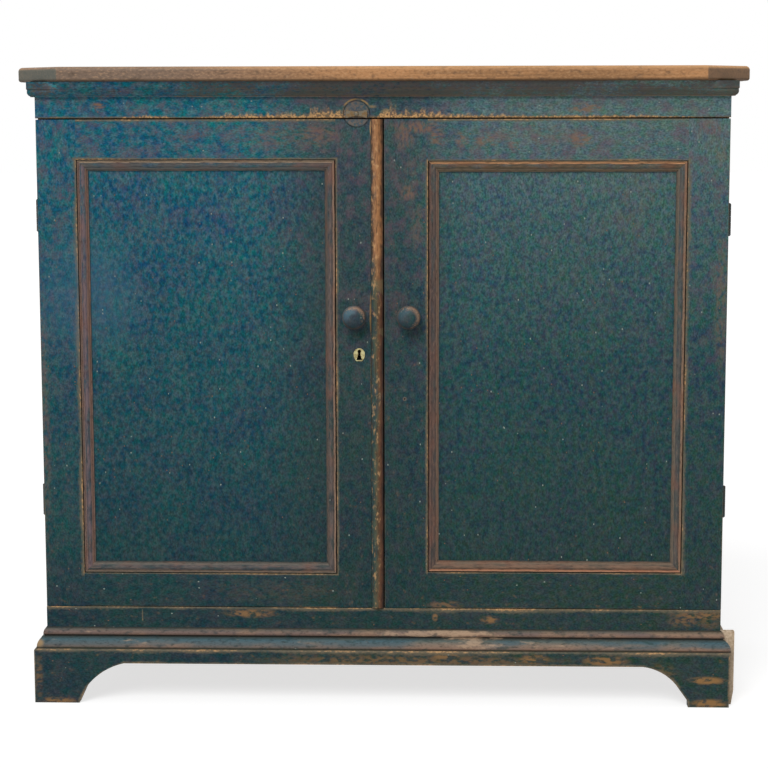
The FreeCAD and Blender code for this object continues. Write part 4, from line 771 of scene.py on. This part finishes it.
def knob(node, aim, reach, sheen):
    """Painted, with a narrow ring rubbed to the wood on the side of an aim, over a reach from 0 to 1."""
    surface = Finish(node)
    low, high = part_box(node)
    radius = (high.x - low.x) / 2
    shade, relief = paint(surface, "z")
    shade = surface.mix(0.3, shade, (30, 56, 62))
    offset = surface.vector("SUBTRACT", surface.place, tuple(middle_of(node)))
    flat = surface.vector("MULTIPLY", offset, (1, 0, 1))
    away = surface.math("DIVIDE", surface.measure("LENGTH", flat), radius)
    aside = surface.vector("NORMALIZE", flat)
    grit = surface.noise(3 * MM, detail=4, shift=5)
    # Painted highlight on the upper left of the knob, as strong as the sheen
    upper = surface.fade(surface.measure("DOT_PRODUCT", aside, (-0.7, 0, 0.7)), 0, 1)
    upper = surface.times(upper, surface.fade(away, 0.2, 0.55, 0, sheen))
    shade = surface.mix(upper, shade, (88, 122, 138))
    toward = surface.measure("DOT_PRODUCT", aside, aim)
    toward = surface.plus(toward, surface.fade(grit, 0.3, 0.7, -0.6, 0.6))
    band = surface.times(surface.fade(away, 0.52, 0.86), surface.fade(away, 1.0, 0.88))
    worn = surface.times(surface.fade(toward, 0.65 - reach, 1.4 - reach, 0, 0.78), band)
    worn = surface.times(worn, surface.fade(surface.noise(2 * MM, detail=3, shift=8), 0.3, 0.6, 0.5, 1))
    shade = surface.mix(worn, shade, (164, 130, 104))
    rim = surface.times(surface.fade(away, 0.80, 0.98, 0, 0.7), surface.fade(grit, 0.3, 0.6, 0.5, 1))
    shade = surface.mix(rim, shade, (92, 72, 60))
    return surface.finish(shade, HANDLED_ROUGHNESS, relief, FINE_RELIEF, HANDLED_SHINE)


# Metal

def iron(name, base, rust):
    """Dark old iron with rust."""
    surface = Finish(name)
    patches = surface.noise(5 * MM, detail=4, shift=1)
    shade = surface.mix(surface.fade(patches, 0.42, 0.66), base, rust)
    grit = surface.noise(0.7 * MM, detail=3, shift=2)
    shade = surface.mix(surface.fade(grit, 0.5, 0.75, 0, 0.5), shade, (34, 30, 28))
    roughness = surface.fade(patches, 0.35, 0.7, 0.42, 0.8)
    return surface.finish(shade, roughness, grit, 0.12 * MM, METAL_SHINE, 0.55)


def brass(name):
    """Dull pale brass with brown tarnish in its hollows."""
    surface = Finish(name)
    patches = surface.noise(4 * MM, detail=3, shift=6)
    shade = surface.mix(surface.fade(patches, 0.35, 0.7), (194, 186, 136), (142, 126, 80))
    grit = surface.noise(0.5 * MM, detail=2, shift=7)
    roughness = surface.fade(patches, 0.3, 0.7, 0.35, 0.6)
    return surface.finish(shade, roughness, grit, 0.05 * MM, METAL_SHINE, 0.35)


# Nails

NAIL_RADIUS = 3.2 * MM
NAIL_RISE = 0.55 * MM
NAIL_DEPTH = 0.6 * MM  # how far the foot of a head lies under the back boards' face
NAIL_SIDES = 12
NAIL_RINGS = 3


def dome_corners(foot):
    """Corners of a low dome that faces back: its top, and then its rings down to the foot."""
    corners = [foot + Vector((0, NAIL_RISE, 0))]
    for ring in range(1, NAIL_RINGS + 1):
        slope = math.pi / 2 * ring / NAIL_RINGS
        out = NAIL_RADIUS * math.sin(slope)
        up = NAIL_RISE * math.cos(slope)
        for i in range(NAIL_SIDES):
            turn = 2 * math.pi * i / NAIL_SIDES
            corners.append(foot + Vector((out * math.cos(turn), up, out * math.sin(turn))))
    return corners


def dome_faces(top):
    """Faces of a closed dome, from the number of its top corner."""
    rings = [[top + 1 + ring * NAIL_SIDES + i for i in range(NAIL_SIDES)] for ring in range(NAIL_RINGS)]
    faces = [rings[-1]]
    for i in range(NAIL_SIDES):
        faces.append((top, rings[0][i], rings[0][i - 1]))
        for upper, lower in zip(rings, rings[1:]):
            faces.append((upper[i - 1], upper[i], lower[i], lower[i - 1]))
    return faces


def back_nails():
    """Three nails a board where the back boards cross the bottom board, the shelves and the rear rail."""
    corners = []
    faces = []
    for board in range(1, 5):
        low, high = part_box("back_board_" + str(board))
        for share in (0.14, 0.5, 0.86):
            for node in ("bottom_board", "shelf_lower", "shelf_upper", "rear_top_rail"):
                across = low.x + share * (high.x - low.x)
                faces += dome_faces(len(corners))
                corners += dome_corners(Vector((across, high.y - NAIL_DEPTH, middle_of(node).z)))
    mesh = bpy.data.meshes.new("back_board_nails")
    mesh.from_pydata(corners, [], faces)
    for face in mesh.polygons:
        face.use_smooth = True
    piece = bpy.data.objects.new("back_board_nails", mesh)
    bpy.context.scene.collection.objects.link(piece)
    return piece


# Putting the finishes on

def wear(material, *nodes):
    """Puts a finish on some solids."""
    for node in nodes:
        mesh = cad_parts[node].data
        mesh.materials.clear()
        mesh.materials.append(material)


def own_finishes():
    """The finishes of single solids, each under the name of its solid."""
    return [
        *door_finishes("left", -1, LEFT_SPOTS),
        *door_finishes("right", 1, RIGHT_SPOTS),
        *(panel_moulding(door, place) for door in MOULDING_COLOURS for place in ACROSS),
        painted("frieze_rail", "x", [
            front_line(-CASE_SIDE, FRIEZE_BOTTOM, CASE_SIDE, FRIEZE_BOTTOM, 1.2 * MM),
        ], FRIEZE_SPOTS, 0.0, INSIDE, feathered),
        painted("bottom_rail", "x", RAIL_LINES, RAIL_SPOTS, 0.0, INSIDE),
        side_finish("side_board_left", -1),
        side_finish("side_board_right", 1),
        plinth_front_finish("plinth_front"),
        plinth_side_finish("plinth_side_left"),
        bare_board("plinth_side_right", "y", (204, 182, 156), (164, 142, 116), 0.35),
        top_moulding("top_moulding_front", "x"),
        top_moulding("top_moulding_left", "y"),
        top_moulding("top_moulding_right", "y"),
        base_moulding("base_moulding_front", "x"),
        base_moulding("base_moulding_left", "y"),
        scrubbed_top("top_board"),
        meeting_bead("left_door_bead"),
        knob("left_door_knob", (0.45, 0, 0.89), 0.52, 0.45),
        knob("right_door_knob", (0.87, 0, 0.5), 0.75, 0.18),
        brass("escutcheon"),
    ]


BLOCK_PINE = ((160, 124, 86), (116, 82, 54))


def wear_bare_pine():
    """Unpainted pine on all that lies inside and behind."""
    wear(bare_board("inside_pine", "x", (176, 136, 94), (128, 90, 58), 0.4),
         "bottom_board", "shelf_lower", "shelf_upper", "rear_top_rail")
    wear(bare_board("block_pine", "z", *BLOCK_PINE, 0.5), "foot_blocks")
    wear(bare_board("cleat_pine", "y", (168, 130, 90), (120, 86, 56), 0.4), "shelf_cleats")
    wear(bare_board("bracket_pine", "x", (150, 116, 80), (108, 78, 52), 0.5), "rear_foot_brackets")
    for i, lightness in enumerate((1.0, 0.90, 1.06, 0.95), 1):
        pale, dark = (tuple(part * lightness for part in shade) for shade in BLOCK_PINE)
        wear(bare_board("back_pine_" + str(i), "z", pale, dark, 0.5, 1.7 * i), "back_board_" + str(i))


def wear_iron():
    """Iron in a tone for each kind of fitting."""
    wear(iron("hinge_iron", (46, 58, 60), (84, 74, 64)),
         "hinge_case_leaves", "left_door_hinge_leaves", "right_door_hinge_leaves", "hinge_pins")
    wear(iron("screw_iron", (92, 86, 78), (96, 76, 58)),
         "hinge_case_screws", "left_door_screws", "right_door_screws")
    wear(iron("lock_iron", (74, 70, 66), (98, 74, 54)),
         "lock_case", "lock_bolt", "lock_spring", "door_bolt", "door_bolt_plate")
    wear(iron("button_iron", (112, 104, 88), (130, 104, 70)), "turn_button", "turn_button_screw")


def add_pieces():
    """Small pieces that only the looks need."""
    nails = back_nails()
    nails.data.materials.append(iron("nail_iron", (58, 52, 46), (104, 70, 46)))
    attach(nails, "case")


# Camera, floor and light

FOCAL_LENGTH = 96.1  # millimetres, on a sensor 36 wide
CAMERA_PLACE = (0.1182, -3.6502, 1.0136)
CAMERA_PITCH = -7.597
CAMERA_YAW = 1.902
CAMERA_ROLL = -0.106
WORLD_LEVEL = 0.55
KEY_LEVEL = 1.95
KEY_FROM = (-0.35, -1.0, 0.95)
KEY_SPREAD = 30
FLOOR_GREY = 0.42
FLOOR_GLOW = 0.70
FLOOR_HALF = 30  # half the floor's width


def seen_directly(tree):
    """1 for camera, mirror and glass rays, and 0 for the light that lands on the object."""
    path = tree.nodes.new("ShaderNodeLightPath")
    total = path.outputs["Is Camera Ray"]
    for name in ("Is Glossy Ray", "Is Transmission Ray"):
        made = tree.nodes.new("ShaderNodeMath")
        made.operation = "MAXIMUM"
        tree.links.new(total, made.inputs[0])
        tree.links.new(path.outputs[name], made.inputs[1])
        total = made.outputs[0]
    return total


def make_world():
    world = bpy.data.worlds.new("studio")
    world.use_nodes = True
    bpy.context.scene.world = world
    tree = world.node_tree
    background = tree.nodes["Background"]
    background.inputs["Color"].default_value = (1, 1, 1, 1)
    level = tree.nodes.new("ShaderNodeMapRange")
    level.inputs["To Min"].default_value = WORLD_LEVEL
    level.inputs["To Max"].default_value = 1
    tree.links.new(seen_directly(tree), level.inputs["Value"])
    tree.links.new(level.outputs[0], background.inputs["Strength"])


def make_floor():
    """A wide pale floor that shows as white and keeps the object's shadow."""
    material = bpy.data.materials.new("floor")
    material.use_nodes = True
    tree = material.node_tree
    output = tree.nodes["Material Output"]
    tree.nodes.remove(tree.nodes["Principled BSDF"])
    plain = tree.nodes.new("ShaderNodeBsdfDiffuse")
    plain.inputs["Color"].default_value = (FLOOR_GREY, FLOOR_GREY, FLOOR_GREY, 1)
    glow = tree.nodes.new("ShaderNodeEmission")
    glow.inputs["Color"].default_value = (1, 1, 1, 1)
    scale = tree.nodes.new("ShaderNodeMath")
    scale.operation = "MULTIPLY"
    scale.inputs[1].default_value = FLOOR_GLOW
    tree.links.new(seen_directly(tree), scale.inputs[0])
    tree.links.new(scale.outputs[0], glow.inputs["Strength"])
    both = tree.nodes.new("ShaderNodeAddShader")
    tree.links.new(plain.outputs[0], both.inputs[0])
    tree.links.new(glow.outputs[0], both.inputs[1])
    tree.links.new(both.outputs[0], output.inputs["Surface"])
    mesh = bpy.data.meshes.new("floor")
    corners = [(x * FLOOR_HALF, y * FLOOR_HALF, 0) for x, y in ((-1, -1), (1, -1), (1, 1), (-1, 1))]
    mesh.from_pydata(corners, [], [(0, 1, 2, 3)])
    mesh.materials.append(material)
    floor = bpy.data.objects.new("floor", mesh)
    bpy.context.scene.collection.objects.link(floor)


def make_light():
    lamp = bpy.data.lights.new("key", "SUN")
    lamp.energy = KEY_LEVEL
    lamp.angle = math.radians(KEY_SPREAD)
    key = bpy.data.objects.new("key", lamp)
    key.rotation_euler = Vector(KEY_FROM).to_track_quat("Z", "Y").to_euler()
    bpy.context.scene.collection.objects.link(key)


def make_camera():
    lens = bpy.data.cameras.new("camera")
    lens.sensor_width = 36
    lens.lens = FOCAL_LENGTH
    camera = bpy.data.objects.new("camera", lens)
    camera.location = CAMERA_PLACE
    aim = Euler((math.radians(90 + CAMERA_PITCH), 0, math.radians(CAMERA_YAW))).to_matrix()
    camera.rotation_euler = (aim @ Matrix.Rotation(math.radians(CAMERA_ROLL), 3, "Z")).to_euler()
    bpy.context.scene.collection.objects.link(camera)
    bpy.context.scene.camera = camera


for finish in own_finishes():
    wear(finish, finish.name)
wear_bare_pine()
wear_iron()
add_pieces()
make_world()
make_floor()
make_light()
make_camera()
bpy.context.scene.view_settings.view_transform = "Standard"
